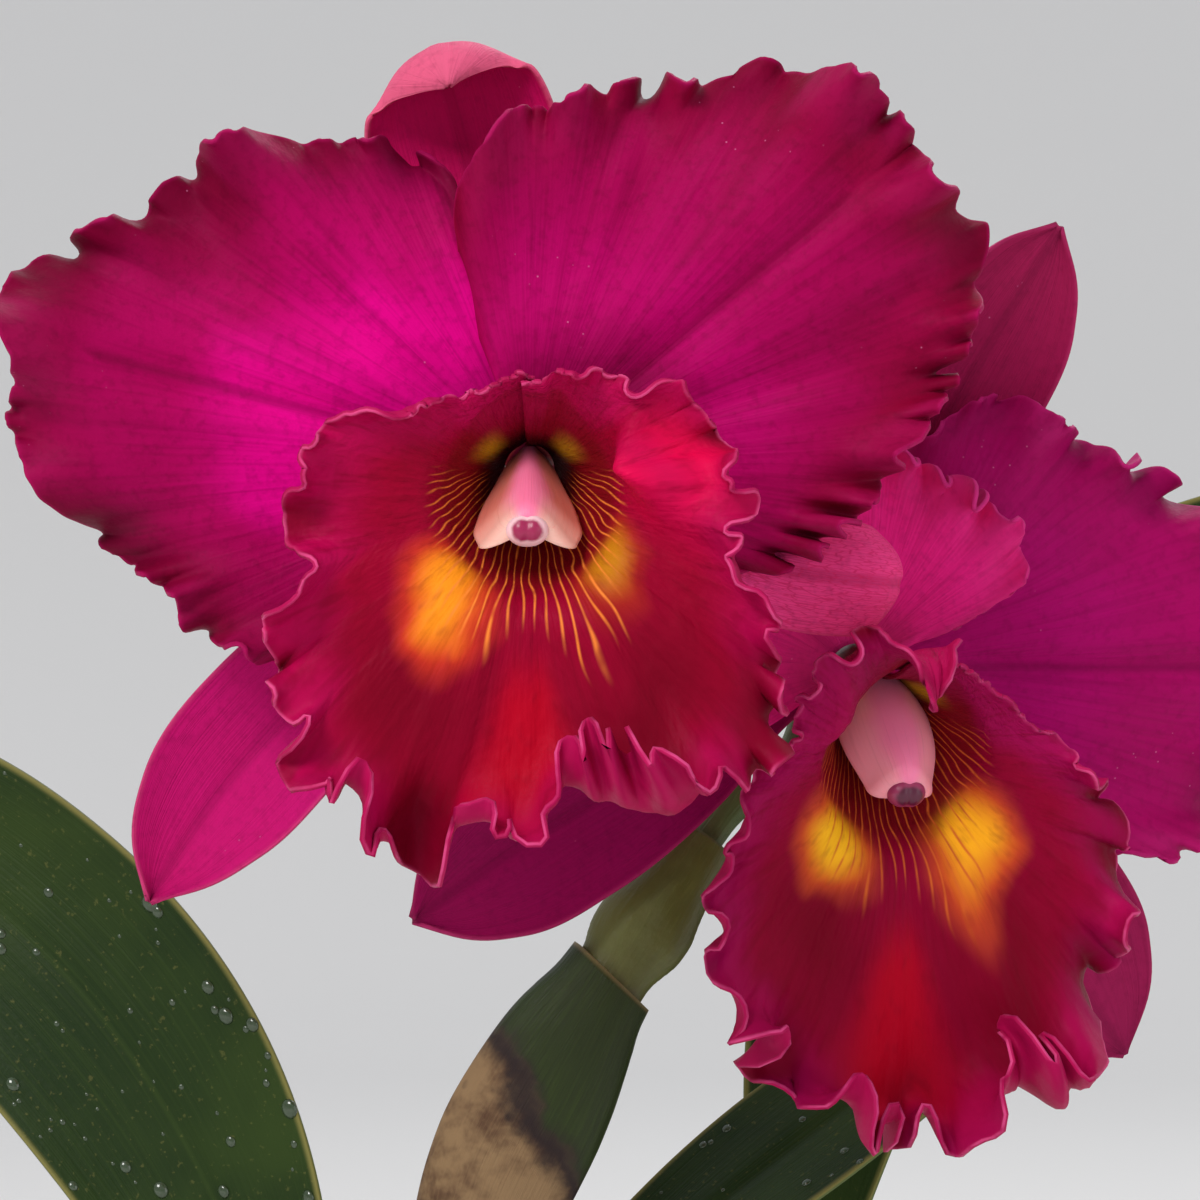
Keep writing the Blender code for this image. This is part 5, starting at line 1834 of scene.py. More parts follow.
@dataclass(frozen=True)
class BulbShape:
    """A club-shaped pseudobulb, ribbed along its length, with dry wraps round its lower part."""

    foot: tuple[float, float]
    apex: Point
    radius: float
    wrapped: float
    seed: int
    base_z: float = 0.1038
    profile: Pairs = (
        (0.0, 0.46), (0.12, 0.52), (0.35, 0.80), (0.60, 1.0), (0.82, 0.86), (0.94, 0.58), (1.0, 0.44),
    )
    rows: int = 90
    sides: int = 60

    def body(self) -> Body:
        """The bulb's faces: its profile carried up a leaning line, with ribs and joint rings.

        Radius = radius * profile(v) * (1 + rib + joint), where rib = 5 % * cos(6 * angle) with a finer
        seeded wrinkle, and each joint is a 3 % bump where a leaf base was joined. The dry wrap is 3.5 %
        thicker than the skin.

        Returns:
            The faces with the mark "dry".
        """
        base = np.array([*self.foot, self.base_z])
        apex = np.array(self.apex)
        lean = apex - base
        middle = base + lean * 0.5 + np.array([lean[0], lean[1], 0.0]) * -0.12
        path = smooth_path((base, middle, apex), self.rows)
        low = ease(0.12, 0.0, np.linspace(0.0, 1.0, self.rows))[:, None]
        path[:, :2] = path[:, :2] * (1.0 - low) + base[:2] * low
        share = np.linspace(0.0, 1.0, self.rows)
        angle = round_angles(self.sides)
        radii = self.radius * through(self.profile, share)
        rings = section_rings(path, (1.0, 0.0, 0.0), radii, radii, self.sides)
        grown = ease(0.0, 0.4, share)[:, None]
        rib = 0.05 * np.cos(6 * angle)[None, :] * grown
        around = 6.0 * np.sin(angle)[None, :] + 1.2 * share[:, None]
        wrinkle = 0.016 * ripple(6.0 * np.cos(angle)[None, :], around, 2.4, self.seed) * grown
        joints = 0.03 * sum(bell(place, 0.008, share) for place in (0.16, 0.42, 0.72))[:, None]
        rings = swollen(path, rings, 1.0 + rib + wrinkle + joints)
        rings[:2, :, 2] = np.maximum(rings[:2, :, 2], self.base_z)
        rings[0, :, 2] = self.base_z
        torn = self.wrapped + 0.05 * ripple(3.0 * np.cos(angle), 3.0 * np.sin(angle), 2.0, self.seed + 1, 3)
        dry = 1.0 - ease(-0.006, 0.006, share[:, None] - torn[None, :])
        return ring_body(swollen(path, rings, 1.0 + 0.035 * dry), {"dry": dry})


@dataclass(frozen=True)
class Rootstock:
    """The creeping rhizome, the knob under each bulb, and the roots that run into the bark."""

    path: tuple[Point, ...]
    roots: tuple[tuple[Point, ...], ...]
    knobs: tuple[tuple[float, float], ...]
    radius: float = 0.0052
    root_radius: float = 0.0023
    knob_radius: float = 0.0058
    knob_foot: float = 0.0960
    knob_top: float = 0.1035
    knob_rings: int = 16
    knob_sides: int = 32

    def build(self) -> None:
        """Make all of it as one piece."""
        bodies = [self.tube(self.path, (120, 40), self.radius, (0.35, 0.8), ringed=0.06, start=-1.0)]
        bodies += [self.knob(x, y) for x, y in self.knobs]
        for root in self.roots:
            bodies.append(self.tube(root, (60, 20), self.root_radius, (0.25, 0.0), ringed=0.05, start=0.0))
        dress("rhizome", joined(bodies), RootFinish().build())

    def tube(
        self, points: Sequence[Point], size: tuple[int, int], radius: float, taper: tuple[float, float],
        ringed: float, start: float,
    ) -> Body:
        """A tapering tube along a path, with rings and seeded lumps.

        Args:
            points: what the path runs through.
            size: rings along it, and points round each.
            radius: at its start.
            taper: share of the radius that it loses, and the share of its length where that begins.
            ringed: height of its rings as a share of the radius.
            start: 0 for a mark "tip" that runs from 0 to 1, or the mark's value all along.

        Returns:
            The faces with the mark "tip".
        """
        count, sides = size
        path = smooth_path(points, count)
        share = np.linspace(0.0, 1.0, count)
        scales = 1.0 - 0.4 * ringed + ringed * np.sin(60.0 * share) ** 2
        radii = radius * (1.0 - taper[0] * ease(taper[1], 1.0, share)) * scales
        radii[[0, -1]] *= 0.7
        rings = section_rings(path, (1.0, 0.13, 0.0), radii, radii, sides)
        around = 2.0 * np.cos(round_angles(sides))[None, :]
        rings = swollen(path, rings, 1.0 - 0.03 + 0.03 * ripple(around, 9.0 * share[:, None], 2.0, 17))
        return ring_body(rings, {"tip": share[:, None] if start == 0.0 else start})

    def knob(self, x: float, y: float) -> Body:
        """A short scaly drum under one bulb.

        Args:
            x: its place.
            y: its place.

        Returns:
            The faces with the mark "tip", which is -1.
        """
        share = np.linspace(0.0, 1.0, self.knob_rings)
        height = self.knob_foot + share * (self.knob_top - self.knob_foot)
        path = np.column_stack([np.full_like(share, x), np.full_like(share, y), height])
        radii = self.knob_radius * (1.0 - 0.04 * np.cos(22.0 * share))
        rings = section_rings(path, (1.0, 0.0, 0.0), radii, radii, self.knob_sides)
        return ring_body(rings, {"tip": -1.0})


@dataclass(frozen=True)
class Pot:
    """A plain clay pot with a thick rim band, filled with bark chips."""

    height: float = 0.110
    base_radius: float = 0.0460
    neck_radius: float = 0.0600
    rim_radius: float = 0.0660
    rim_height: float = 0.024
    wall: float = 0.0055
    floor: float = 0.0080
    edge: float = 0.0012
    hole_radius: float = 0.0050
    hole_circle: float = 0.0240
    bark_top: float = 0.0920
    gap: float = 0.0003
    axis_hole: float = 0.002
    step: float = 0.004
    holes: int = 4
    hole_sides: int = 28
    hole_slack: float = 0.002
    bed_levels: tuple[float, ...] = (0.03, 0.05, 0.07)
    bed_sides: int = 72
    chips: int = 150
    chip_half: tuple[tuple[float, float], ...] = ((0.0055, 0.0110), (0.0040, 0.0065), (0.0016, 0.0030))
    chip_tilt: float = 0.30
    golden_turn: float = math.radians(137.508)
    seed: int = 7
    sides: int = 144

    def profile(self) -> Array:
        """The pot's section, up its outside and down its inside, with each corner rounded by a curve.

        Returns:
            (radius, height) points that are closer than twice the step.
        """
        band = self.height - self.rim_height
        inner_rim = self.rim_radius - self.wall - 0.0010
        inner_floor = self.base_radius - self.wall
        corners = (
            (self.base_radius, 0.0, self.edge), (self.neck_radius, band, 0.0006),
            (self.rim_radius, band, self.edge), (self.rim_radius, self.height, 0.0016),
            (inner_rim, self.height, 0.0016), (inner_floor, self.floor, 0.004),
        )
        ends = np.array((self.axis_hole, 0.0)), np.array((self.axis_hole, self.floor))
        spots = [ends[0], *(np.array(corner[:2]) for corner in corners), ends[1]]
        points = [ends[0]]
        for k, (_, _, soft) in enumerate(corners, start=1):
            here = spots[k]
            before, after = unit(spots[k - 1] - here), unit(spots[k + 1] - here)
            for t in np.linspace(0.0, 1.0, 6):
                points.append(here + soft * ((1 - t) ** 2 * before + t**2 * after))
        points.append(ends[1])
        fine = [points[0]]
        for here, there in zip(points[:-1], points[1:]):
            steps = max(1, int(np.linalg.norm(there - here) / self.step))
            fine.extend(here + (there - here) * (k + 1) / steps for k in range(steps))
        return np.array(fine)

    def build(self) -> None:
        """Make the pot and its bark."""
        section = self.profile()
        angle = round_angles(self.sides)
        uneven = ripple(np.cos(angle)[None, :], 20.0 * section[:, 1:], 2.0, 5)
        rings = lathed(section[:, :1] * (1.0 + 0.0015 * uneven), section[:, 1:], angle)
        self.drill(dress("pot", ring_body(rings), ClayFinish().build()))
        dress("bark", joined([self.bed(), *self.chip_bodies()]), BarkFinish().build())

    def drill(self, piece: bpy.types.Object) -> None:
        """Cut the drain holes through the pot's floor.

        Args:
            piece: the pot.
        """
        levels = np.array((-self.hole_slack, self.floor + self.hole_slack))[:, None]
        hole = lathed(self.hole_radius, levels, round_angles(self.hole_sides))
        places = lathed(self.hole_circle, 0.0, 2 * math.pi * (np.arange(self.holes) + 0.5) / self.holes)
        drills = joined([ring_body(hole + place) for place in places])
        cutter = bpy.data.objects.new("drill", mesh_of("drill", drills))
        bpy.context.scene.collection.objects.link(cutter)
        change = piece.modifiers.new("Drain holes", "BOOLEAN")
        change.operation = "DIFFERENCE"
        change.object = cutter
        change.solver = "EXACT"
        graph = bpy.context.evaluated_depsgraph_get()
        cut = bpy.data.meshes.new_from_object(piece.evaluated_get(graph))
        piece.modifiers.clear()
        piece.data = cut
        cut.shade_smooth()
        cut.set_sharp_from_angle(angle=math.radians(35.0))
        bpy.data.objects.remove(cutter, do_unlink=True)

    def inner_radius(self, z: float) -> float:
        """The pot's inner radius at a height."""
        low, high = self.base_radius - self.wall, self.rim_radius - self.wall - 0.0010
        return low + (high - low) * (z - self.floor) / (self.height - self.edge - self.floor)

    def bed(self) -> Body:
        """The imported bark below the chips: a tapered plug with an uneven top.

        Returns:
            The faces with the mark "piece".
        """
        angle = round_angles(self.bed_sides)
        top, low = self.bark_top - 0.0030, self.floor + 2 * self.gap
        sides = [(self.inner_radius(z) - 3 * self.gap, z) for z in (low, *self.bed_levels, top - 0.001)]
        over = [(out, top) for out in np.linspace(self.inner_radius(top) - 0.0014, 0.002, 26)]
        radius, z = np.array([(0.004, low), *sides, *over]).T[..., None]
        bumps = 0.0016 * ripple(radius * np.cos(angle), radius * np.sin(angle), 420.0, self.seed, 3)
        bumps[:len(sides) + 2] = 0.0
        return ring_body(lathed(radius, z + bumps, angle), {"piece": 0.1})

    def chip_bodies(self) -> list[Body]:
        """Bark chips: rounded blocks, lumpy by seeded noise, laid over the bed by a sunflower rule.

        Block point = half sizes * sign(c) * |c| ** 0.45 of a unit ball's point c, times 1 + noise.

        Returns:
            The chips' faces with the mark "piece", which is drawn for each chip.
        """
        rng = np.random.default_rng(self.seed)
        ball = ball_grid(np.linspace(-0.46 * math.pi, 0.46 * math.pi, 9), 14)
        block = np.sign(ball) * np.abs(ball) ** 0.45
        reach = self.inner_radius(self.bark_top) - 0.0110
        bodies = []
        for k in range(self.chips):
            half = np.array([rng.uniform(*span) for span in self.chip_half])
            lumps = 1.0 + 0.10 * ripple(2.0 * ball[..., 0] + k, 2.0 * ball[..., 1] + ball[..., 2], 2.2, k)
            turn = Matrix.Rotation(rng.uniform(0.0, math.pi), 3, "Z")
            for axis in "XY":
                turn = turn @ Matrix.Rotation(rng.normal(0.0, self.chip_tilt), 3, axis)
            radius = reach * math.sqrt((k + 0.5) / self.chips)
            around = np.array(k * self.golden_turn)
            spot = lathed(radius, self.bark_top - 0.0012 + rng.uniform(-0.0012, 0.0024), around)
            points = spot + (block * half * lumps[..., None]) @ np.array(turn).T
            bodies.append(ring_body(points, {"piece": rng.random()}))
        return bodies


# The studio


@dataclass(frozen=True)
class AreaLight:
    """A soft square light that looks at a target."""

    name: str
    place: Point
    size: float
    power: float
    colour: Colour = (1.0, 1.0, 1.0)


@dataclass(frozen=True)
class Studio:
    """A pale bowl-shaped floor, soft lights, and the camera at the photograph's angle."""

    target: Point = (0.0136, -0.0400, 0.3700)
    distance: float = 0.8
    view_angle: float = 13.88
    floor_colour: Colour = (0.80, 0.79, 0.77)
    lights: tuple[AreaLight, ...] = (
        AreaLight("key", (-1.30, -2.10, 2.30), 1.2, 62.0, (1.0, 0.985, 0.96)),
        AreaLight("fill", (2.30, -1.70, 0.80), 1.8, 12.0, (0.96, 0.98, 1.0)),
        AreaLight("back", (0.8, 2.0, 2.2), 1.4, 20.0),
    )
    daylight: float = 0.62
    sky: Colour = (0.92, 0.94, 1.0)
    floor_spans: tuple[tuple[float, float, int], ...] = ((0.01, 0.01, 1), (0.2, 3.0, 12), (3.2, 6.5, 24))
    floor_slope: tuple[float, float] = (3.0, 6.4)
    floor_rise: float = 2.6
    floor_thickness: float = 0.02
    floor_sides: int = 96
    under_pot: float = 0.0002

    def build(self) -> None:
        """Make the floor, the lights, the world and the camera."""
        self.build_floor()
        for light in self.lights:
            data = bpy.data.lights.new(light.name, "AREA")
            data.size, data.energy, data.color = light.size, light.power, light.colour
            lamp = bpy.data.objects.new(light.name, data)
            lamp.location = light.place
            aim = Vector(self.target) - Vector(light.place)
            lamp.rotation_euler = aim.to_track_quat("-Z", "Y").to_euler()
            bpy.context.scene.collection.objects.link(lamp)
        world = bpy.data.worlds.new("studio")
        world.use_nodes = True
        background = world.node_tree.nodes["Background"]
        background.inputs["Color"].default_value = (*self.sky, 1.0)
        background.inputs["Strength"].default_value = self.daylight
        bpy.context.scene.world = world
        bpy.context.scene.view_settings.view_transform = "Standard"
        data = bpy.data.cameras.new("camera")
        data.sensor_width = 36.0
        data.lens = data.sensor_width / 2 / math.tan(math.radians(self.view_angle / 2))
        camera = bpy.data.objects.new("camera", data)
        camera.location = (self.target[0], self.target[1] - self.distance, self.target[2])
        camera.rotation_euler = (math.radians(90.0), 0.0, 0.0)
        bpy.context.scene.collection.objects.link(camera)
        bpy.context.scene.camera = camera

    def build_floor(self) -> None:
        """A floor of revolution, level near the pot, then curving up by rise * ease(radius)."""
        radius = np.concatenate([np.linspace(*span) for span in self.floor_spans])
        top = self.floor_rise * ease(*self.floor_slope, radius) - self.under_pot
        out = np.concatenate([radius, radius[::-1]])[:, None]
        height = np.concatenate([top, top[::-1] - self.floor_thickness])[:, None]
        rings = lathed(out, height, round_angles(self.floor_sides))
        r = Recipe("pale_floor")
        floor = bpy.data.objects.new("floor", mesh_of("floor", ring_body(rings)))
        floor.data.materials.append(r.finish(self.floor_colour, 0.7))
        bpy.context.scene.collection.objects.link(floor)


# The plant


def bloom_a() -> Bloom:
    """The front bloom, which faces the camera.

    Returns:
        Its shapes and finishes.
    """
    sepals = {
        "dorsal": SepalShape(
            heading=99, length=0.085, half_width=0.0168,
            pitch=((0, -24), (0.25, -14), (0.66, 2), (0.76, 30), (0.86, 100), (1, 150)),
            turn=((0, 0), (1, 10)), cup=((0, 20), (0.5, 26), (0.72, 52), (1, 66)),
            peak=0.56, seed=41,
        ),
        "left": SepalShape(
            heading=226.5, length=0.0925, half_width=0.014,
            pitch=((0, -18), (0.4, -8), (1, 8)),
            turn=((0, 0), (0.6, 0), (1, 16)), cup=((0, 20), (1, 22)), peak=0.6,
            seed=42,
        ),
        "right": SepalShape(
            heading=334, length=0.08, half_width=0.0104,
            pitch=(
                (0, -16), (0.5, 6), (0.66, -4), (0.76, -60), (0.86, -140), (1, -165),
            ),
            turn=((0, 0), (0.3, 4), (0.65, 20), (1, 20)),
            cup=((0, 10), (0.45, -26), (0.7, -48), (1, -60)), peak=0.62, seed=43,
        ),
    }
    petals = {
        "left": PetalShape(
            outline=(
                (104, 0.046), (112, 0.057), (122, 0.062), (135, 0.0735), (146, 0.075), (156, 0.086),
                (164, 0.0895), (169, 0.085), (177, 0.0848), (187, 0.075), (197, 0.0645), (208, 0.06),
                (217, 0.054), (225, 0.044), (234, 0.024),
            ),
            depth=-0.0028, midvein=166, pitch=((0, 10), (0.3, 8), (0.7, -2), (1, -10)),
            frills=(
                Frill(22, 40, 22, 0.62), Frill(9, 0, 12, 0.25),
            ),
            folds=(Fold(112, 9, -14, 0.3),),
            crisps=(
                Frill(41, 20, 38, 0.84, 0.25), Frill(97, 0, 20, 0.92, 0.15),
                Frill(76, 0, 40, 0.76, 0.25, (208, 16)),
            ),
            seed=51,
        ),
        "right": PetalShape(
            outline=(
                (-32, 0.022), (-27, 0.038), (-20, 0.046), (-11, 0.053), (2, 0.062), (11, 0.07),
                (20, 0.0785), (28, 0.0825), (38, 0.08), (48, 0.0825), (58, 0.0755), (66, 0.069),
                (76, 0.064), (86, 0.058), (94, 0.056), (101, 0.049), (108, 0.039), (111, 0.027),
            ),
            depth=-0.0012, midvein=40, pitch=((0, 26), (0.3, 12), (0.7, -2), (1, -10)),
            frills=(
                Frill(23, 10, 22, 0.62), Frill(8, 90, 12, 0.25),
            ),
            folds=(Fold(104, 10, 18, 0.2),),
            crisps=(
                Frill(43, 70, 40, 0.82, 0.25, (44, 60)), Frill(104, 0, 20, 0.9, 0.15, (40, 60)),
                Frill(98, 40, 26, 0.8, 0.2, (16, 22)), Frill(58, 0, 36, 0.68, 0.35, (-13, 15)),
            ),
            seed=52,
        ),
    }
    lip = LipShape(
        outline=(
            (92, 0.0188), (110, 0.018), (131, 0.0205), (146, 0.0265), (158, 0.0325), (174, 0.0372),
            (188, 0.0385), (199, 0.0375), (206, 0.044), (217, 0.0495), (228, 0.056), (238, 0.0605),
            (249, 0.0622), (260, 0.0604), (268, 0.0585), (275, 0.055), (281, 0.062), (289, 0.0715),
            (296, 0.068), (304, 0.0595), (316, 0.0565), (331, 0.044), (347, 0.0385), (361, 0.0352),
            (379, 0.0315), (391, 0.03), (405, 0.0245), (415, 0.0232), (430, 0.0205), (448, 0.0185),
        ),
        pitch=(
            (90, 58), (130, 40), (170, 16), (220, 6), (270, 2), (320, 6), (370, 16), (410, 40), (450, 58),
        ),
        frills=(Frill(11, 30, 34, 0.45), Frill(5, 100, 10, 0.2)),
        folds=(Fold(288, 13, 40, 0.4), Fold(352, 14, 24, 0.35)),
        crisps=(
            Frill(17, 10, 24, 0.5, 0.25), Frill(35, 0, 34, 0.76, 0.4),
            Frill(45, 0, 40, 0.75, 0.45, (250, 26)), Frill(52, 0, 44, 0.6, 0.35, (290, 16)),
            Frill(46, 90, 44, 0.78, 0.5, (322, 20)), Frill(66, 0, 26, 0.88, 0.25),
        ),
        curls=(
            Fold(251, 22, 116, 0.75), Fold(288, 11.5, 178, 0.47), Fold(147, 9, 110, 0.6),
            Fold(182, 9, 70, 0.7), Fold(345, 9, 90, 0.66),
        ),
        bulges=((372, 19, 0.4, 0.2, 0.0085), (352, 9, 0.8, 0.25, 0.004)), seed=61,
    )
    tepal_finishes = {
        # The left petal's bright heart colour is a painted highlight.
        "petal_left": TepalFinish(
            "petal_left_a", (0.4, 0.001, 0.13), (0.76, 0.0005, 0.245), (0.4, 0.0005, 0.092),
            (0.19, 0.0005, 0.026), (0.42, 0.006, 0.1),
        ),
        "petal_right": TepalFinish(
            "petal_right_a", (0.26, 0.001, 0.06), (0.45, 0.0005, 0.118), (0.35, 0.0005, 0.076),
            (0.22, 0.0005, 0.024), (0.42, 0.006, 0.1),
        ),
        "sepal_dorsal": TepalFinish(
            "sepal_dorsal_a", (0.46, 0.003, 0.08), (0.56, 0.004, 0.11), (0.56, 0.004, 0.11),
            (0.5, 0.003, 0.09),
            (0.78, 0.125, 0.24), 0.7, 0.8,
        ),
        "sepal_left": TepalFinish(
            "sepal_left_a", (0.4, 0.003, 0.1), (0.5, 0.005, 0.14), (0.54, 0.006, 0.15),
            (0.48, 0.006, 0.12),
            (0.6, 0.06, 0.18), 0.7, 0.5,
        ),
        # Lighter than the other sepals: painted light, raised to offset the shade on this downturned, folded
        # sepal.
        "sepal_right": TepalFinish(
            "sepal_right_a", (0.72, 0.03, 0.19), (1, 0.07, 0.33), (0.94, 0.058, 0.27),
            (0.7, 0.022, 0.13),
            (0.62, 0.05, 0.16), 0.6, 2.6,
        ),
    }
    lip_finish = LipFinish(
        "lip_crimson_a",
        (
            Flare(-0.225, 0.14, 0.125, 0.2, (0.92, 0.28, 0.01), (0.62, 0.04, 0.012)),
            Flare(0.29, 0.06, 0.12, 0.19, (0.52, 0.19, 0.006), (0.38, 0.022, 0.008)),
            Flare(0.54, 0.52, 0.13, 0.42, (0.76, 0.002, 0.068), (0.48, 0.001, 0.04)),
        ),
    )
    return Bloom(
        key="a", place=(0.0022, -0.04, 0.3919), whorl_turn=(0, 0), lip_turn=(0, 0), sepals=sepals,
        petals=petals, lip=lip,
        pedicel=((0.0362, 0.016, 0.3408), (0.034, 0.018, 0.356), (0.024, 0.014, 0.374), (0.009, 0.002, 0.388)),
        tepal_finishes=tepal_finishes, lip_finish=lip_finish,
        column_finish=ColumnFinish("column_a", (0.95, 0.2, 0.37), (0.74, 0.2, 0.15)),
        anther_finish=AntherFinish("anther_a", (0.34, 0.008, 0.075), (0.95, 0.62, 0.66)),
    )


def bloom_b() -> Bloom:
    """The rear bloom, which is turned to the right and nods.

    Returns:
        Its shapes and finishes.
    """
    sepals = {
        "dorsal": SepalShape(
            heading=66, length=0.08, half_width=0.014,
            pitch=((0, -18), (0.4, -8), (1, 8)),
            turn=((0, 0), (1, -4)), cup=((0, 20), (1, 24)), peak=0.6, seed=44,
        ),
        "left": SepalShape(
            heading=209.5, length=0.0815, half_width=0.0155,
            pitch=((0, -14), (0.4, -6), (1, 6)),
            turn=((0, 0), (1, 4)), cup=((0, 20), (1, 22)), peak=0.6, seed=45,
        ),
        "right": SepalShape(
            heading=312, length=0.089, half_width=0.0182,
            pitch=((0, -16), (0.4, -6), (1, 6)),
            turn=((0, 0), (1, -6)), cup=((0, 20), (1, 20)), peak=0.62, seed=46,
        ),
    }
    petals = {
        "left": PetalShape(
            outline=(
                (26, 0.018), (34, 0.03), (42, 0.0335), (58, 0.0365), (80, 0.0385), (98, 0.045),
                (118, 0.054), (138, 0.056), (158, 0.052), (178, 0.047), (196, 0.042), (210, 0.03),
            ),
            depth=-0.0012, midvein=140, pitch=((0, 14), (0.3, 8), (0.7, -2), (1, -10)),
            frills=(
                Frill(22, 60, 22, 0.6), Frill(7, 0, 10, 0.25),
            ),
            folds=(Fold(42, 34, 30, -0.6),),
            crisps=(Frill(40, 20, 40, 0.78, 0.25), Frill(90, 0, 24, 0.88, 0.2)), seed=53,
        ),
        "right": PetalShape(
            outline=(
                (-48, 0.024), (-40, 0.046), (-33, 0.06), (-27, 0.0715), (-14, 0.078), (0, 0.083),
                (12, 0.08), (24, 0.069), (33, 0.064), (39, 0.06), (44, 0.057), (55, 0.055), (65, 0.0505),
                (74, 0.04), (84, 0.026),
            ),
            depth=-0.003, midvein=0, pitch=((0, 4), (0.3, 4), (0.7, -3), (1, -8)),
            frills=(
                Frill(22, 0, 22, 0.62), Frill(8, 20, 10, 0.25),
            ),
            folds=(Fold(68, 14, -16, 0.3),),
            crisps=(Frill(40, 20, 36, 0.82, 0.25), Frill(96, 0, 20, 0.91, 0.15)), seed=54,
        ),
    }
    lip = LipShape(
        outline=(
            (88, 0.025), (98, 0.027), (112, 0.0288), (126, 0.0282), (137, 0.0282), (152, 0.025),
            (180, 0.025), (194, 0.032), (207, 0.0395), (216, 0.044), (226, 0.048), (238, 0.054),
            (248, 0.0595), (257, 0.0625), (266, 0.064), (276, 0.065), (285, 0.069), (293, 0.068),
            (304, 0.06), (312, 0.056), (321, 0.0515), (331, 0.046), (341, 0.043), (350, 0.0375),
            (362, 0.03), (374, 0.0235), (388, 0.02), (403, 0.0185), (420, 0.018), (448, 0.019),
            (452, 0.019),
        ),
        pitch=(
            (90, 50), (130, 30), (170, 14), (220, 14), (270, 18), (320, 14), (370, 16), (410, 40),
            (450, 52),
        ),
        frills=(Frill(11, 80, 34, 0.5), Frill(5, 10, 10, 0.2)),
        folds=(Fold(300, 12, 36, 0.55),),
        crisps=(
            Frill(17, 60, 26, 0.55, 0.25), Frill(35, 60, 36, 0.78, 0.4),
            Frill(46, 60, 42, 0.79, 0.45, (256, 28)), Frill(50, 0, 34, 0.64, 0.35, (292, 15)),
            Frill(66, 0, 26, 0.9, 0.25),
        ),
        curls=(
            Fold(258, 22, 106, 0.76), Fold(290, 9, 165, 0.52), Fold(208, 8, 100, 0.72),
            Fold(98, 10, 120, 0.1),
        ),
        bulges=((150, 26, 0.5, 0.35, 0.004),), seed=62,
    )
    tepal_finishes = {
        # Lighter than this bloom's right petal: painted light, raised to offset the shade that the front
        # bloom's petal casts here.
        "petal_left": TepalFinish(
            "petal_left_b", (0.7, 0.02, 0.19), (0.95, 0.02, 0.28), (0.95, 0.02, 0.28),
            (0.85, 0.014, 0.21), (0.6, 0.03, 0.2),
        ),
        "petal_right": TepalFinish(
            "petal_right_b", (0.46, 0.002, 0.15), (0.44, 0.002, 0.145), (0.38, 0.002, 0.11),
            (0.34, 0.002, 0.09), (0.48, 0.015, 0.15),
        ),
        "sepal_dorsal": TepalFinish(
            "sepal_dorsal_b", (0.24, 0.004, 0.06), (0.26, 0.004, 0.06), (0.26, 0.005, 0.055),
            (0.3, 0.01, 0.065),
            (0.46, 0.035, 0.14), 0.8, 0.9,
        ),
        "sepal_left": TepalFinish(
            "sepal_left_b", (0.24, 0.002, 0.07), (0.26, 0.002, 0.075), (0.24, 0.002, 0.065),
            (0.24, 0.003, 0.06),
            (0.46, 0.035, 0.14), 0.8, 0.5,
        ),
        "sepal_right": TepalFinish(
            "sepal_right_b", (0.32, 0.008, 0.08), (0.36, 0.012, 0.09), (0.36, 0.014, 0.09),
            (0.34, 0.014, 0.085),
            (0.5, 0.04, 0.15), 0.8, 0.8,
        ),
    }
    lip_finish = LipFinish(
        "lip_crimson_b",
        (
            Flare(-0.235, 0.1, 0.13, 0.22, (1, 0.5, 0.012), (0.68, 0.09, 0.014)),
            Flare(0.245, 0.1, 0.14, 0.22, (1, 0.42, 0.012), (0.66, 0.08, 0.014)),
        ),
        crimson=(0.26, 0.0008, 0.024), edge=(0.32, 0.0024, 0.07), line=(0.66, 0.12, 0.02),
    )
    column = ColumnShape(
        half_width=((0, 0.0042), (0.2, 0.0062), (0.5, 0.0084), (0.75, 0.0082), (1, 0.006)),
        half_depth=((0, 0.0036), (0.25, 0.004), (0.6, 0.0042), (1, 0.0038)),
        droop=((0, 0), (0.3, 0), (0.6, 0.0012), (1, 0.0026)), ridge=0.3,
    )
    return Bloom(
        key="b", place=(0.057, -0.004, 0.358), whorl_turn=(16, 10), lip_turn=(20, 21), sepals=sepals,
        petals=petals, lip=lip,
        pedicel=((0.0422, 0.017, 0.338), (0.047, 0.0235, 0.344), (0.0505, 0.0275, 0.354)),
        tepal_finishes=tepal_finishes, lip_finish=lip_finish,
        column_finish=ColumnFinish("column_b", (0.98, 0.22, 0.4), (0.96, 0.3, 0.38), (0.95, 0.34, 0.4)),
        anther_finish=AntherFinish("anther_b", (0.1, 0.003, 0.03), (0.36, 0.04, 0.12)), column=column,
    )


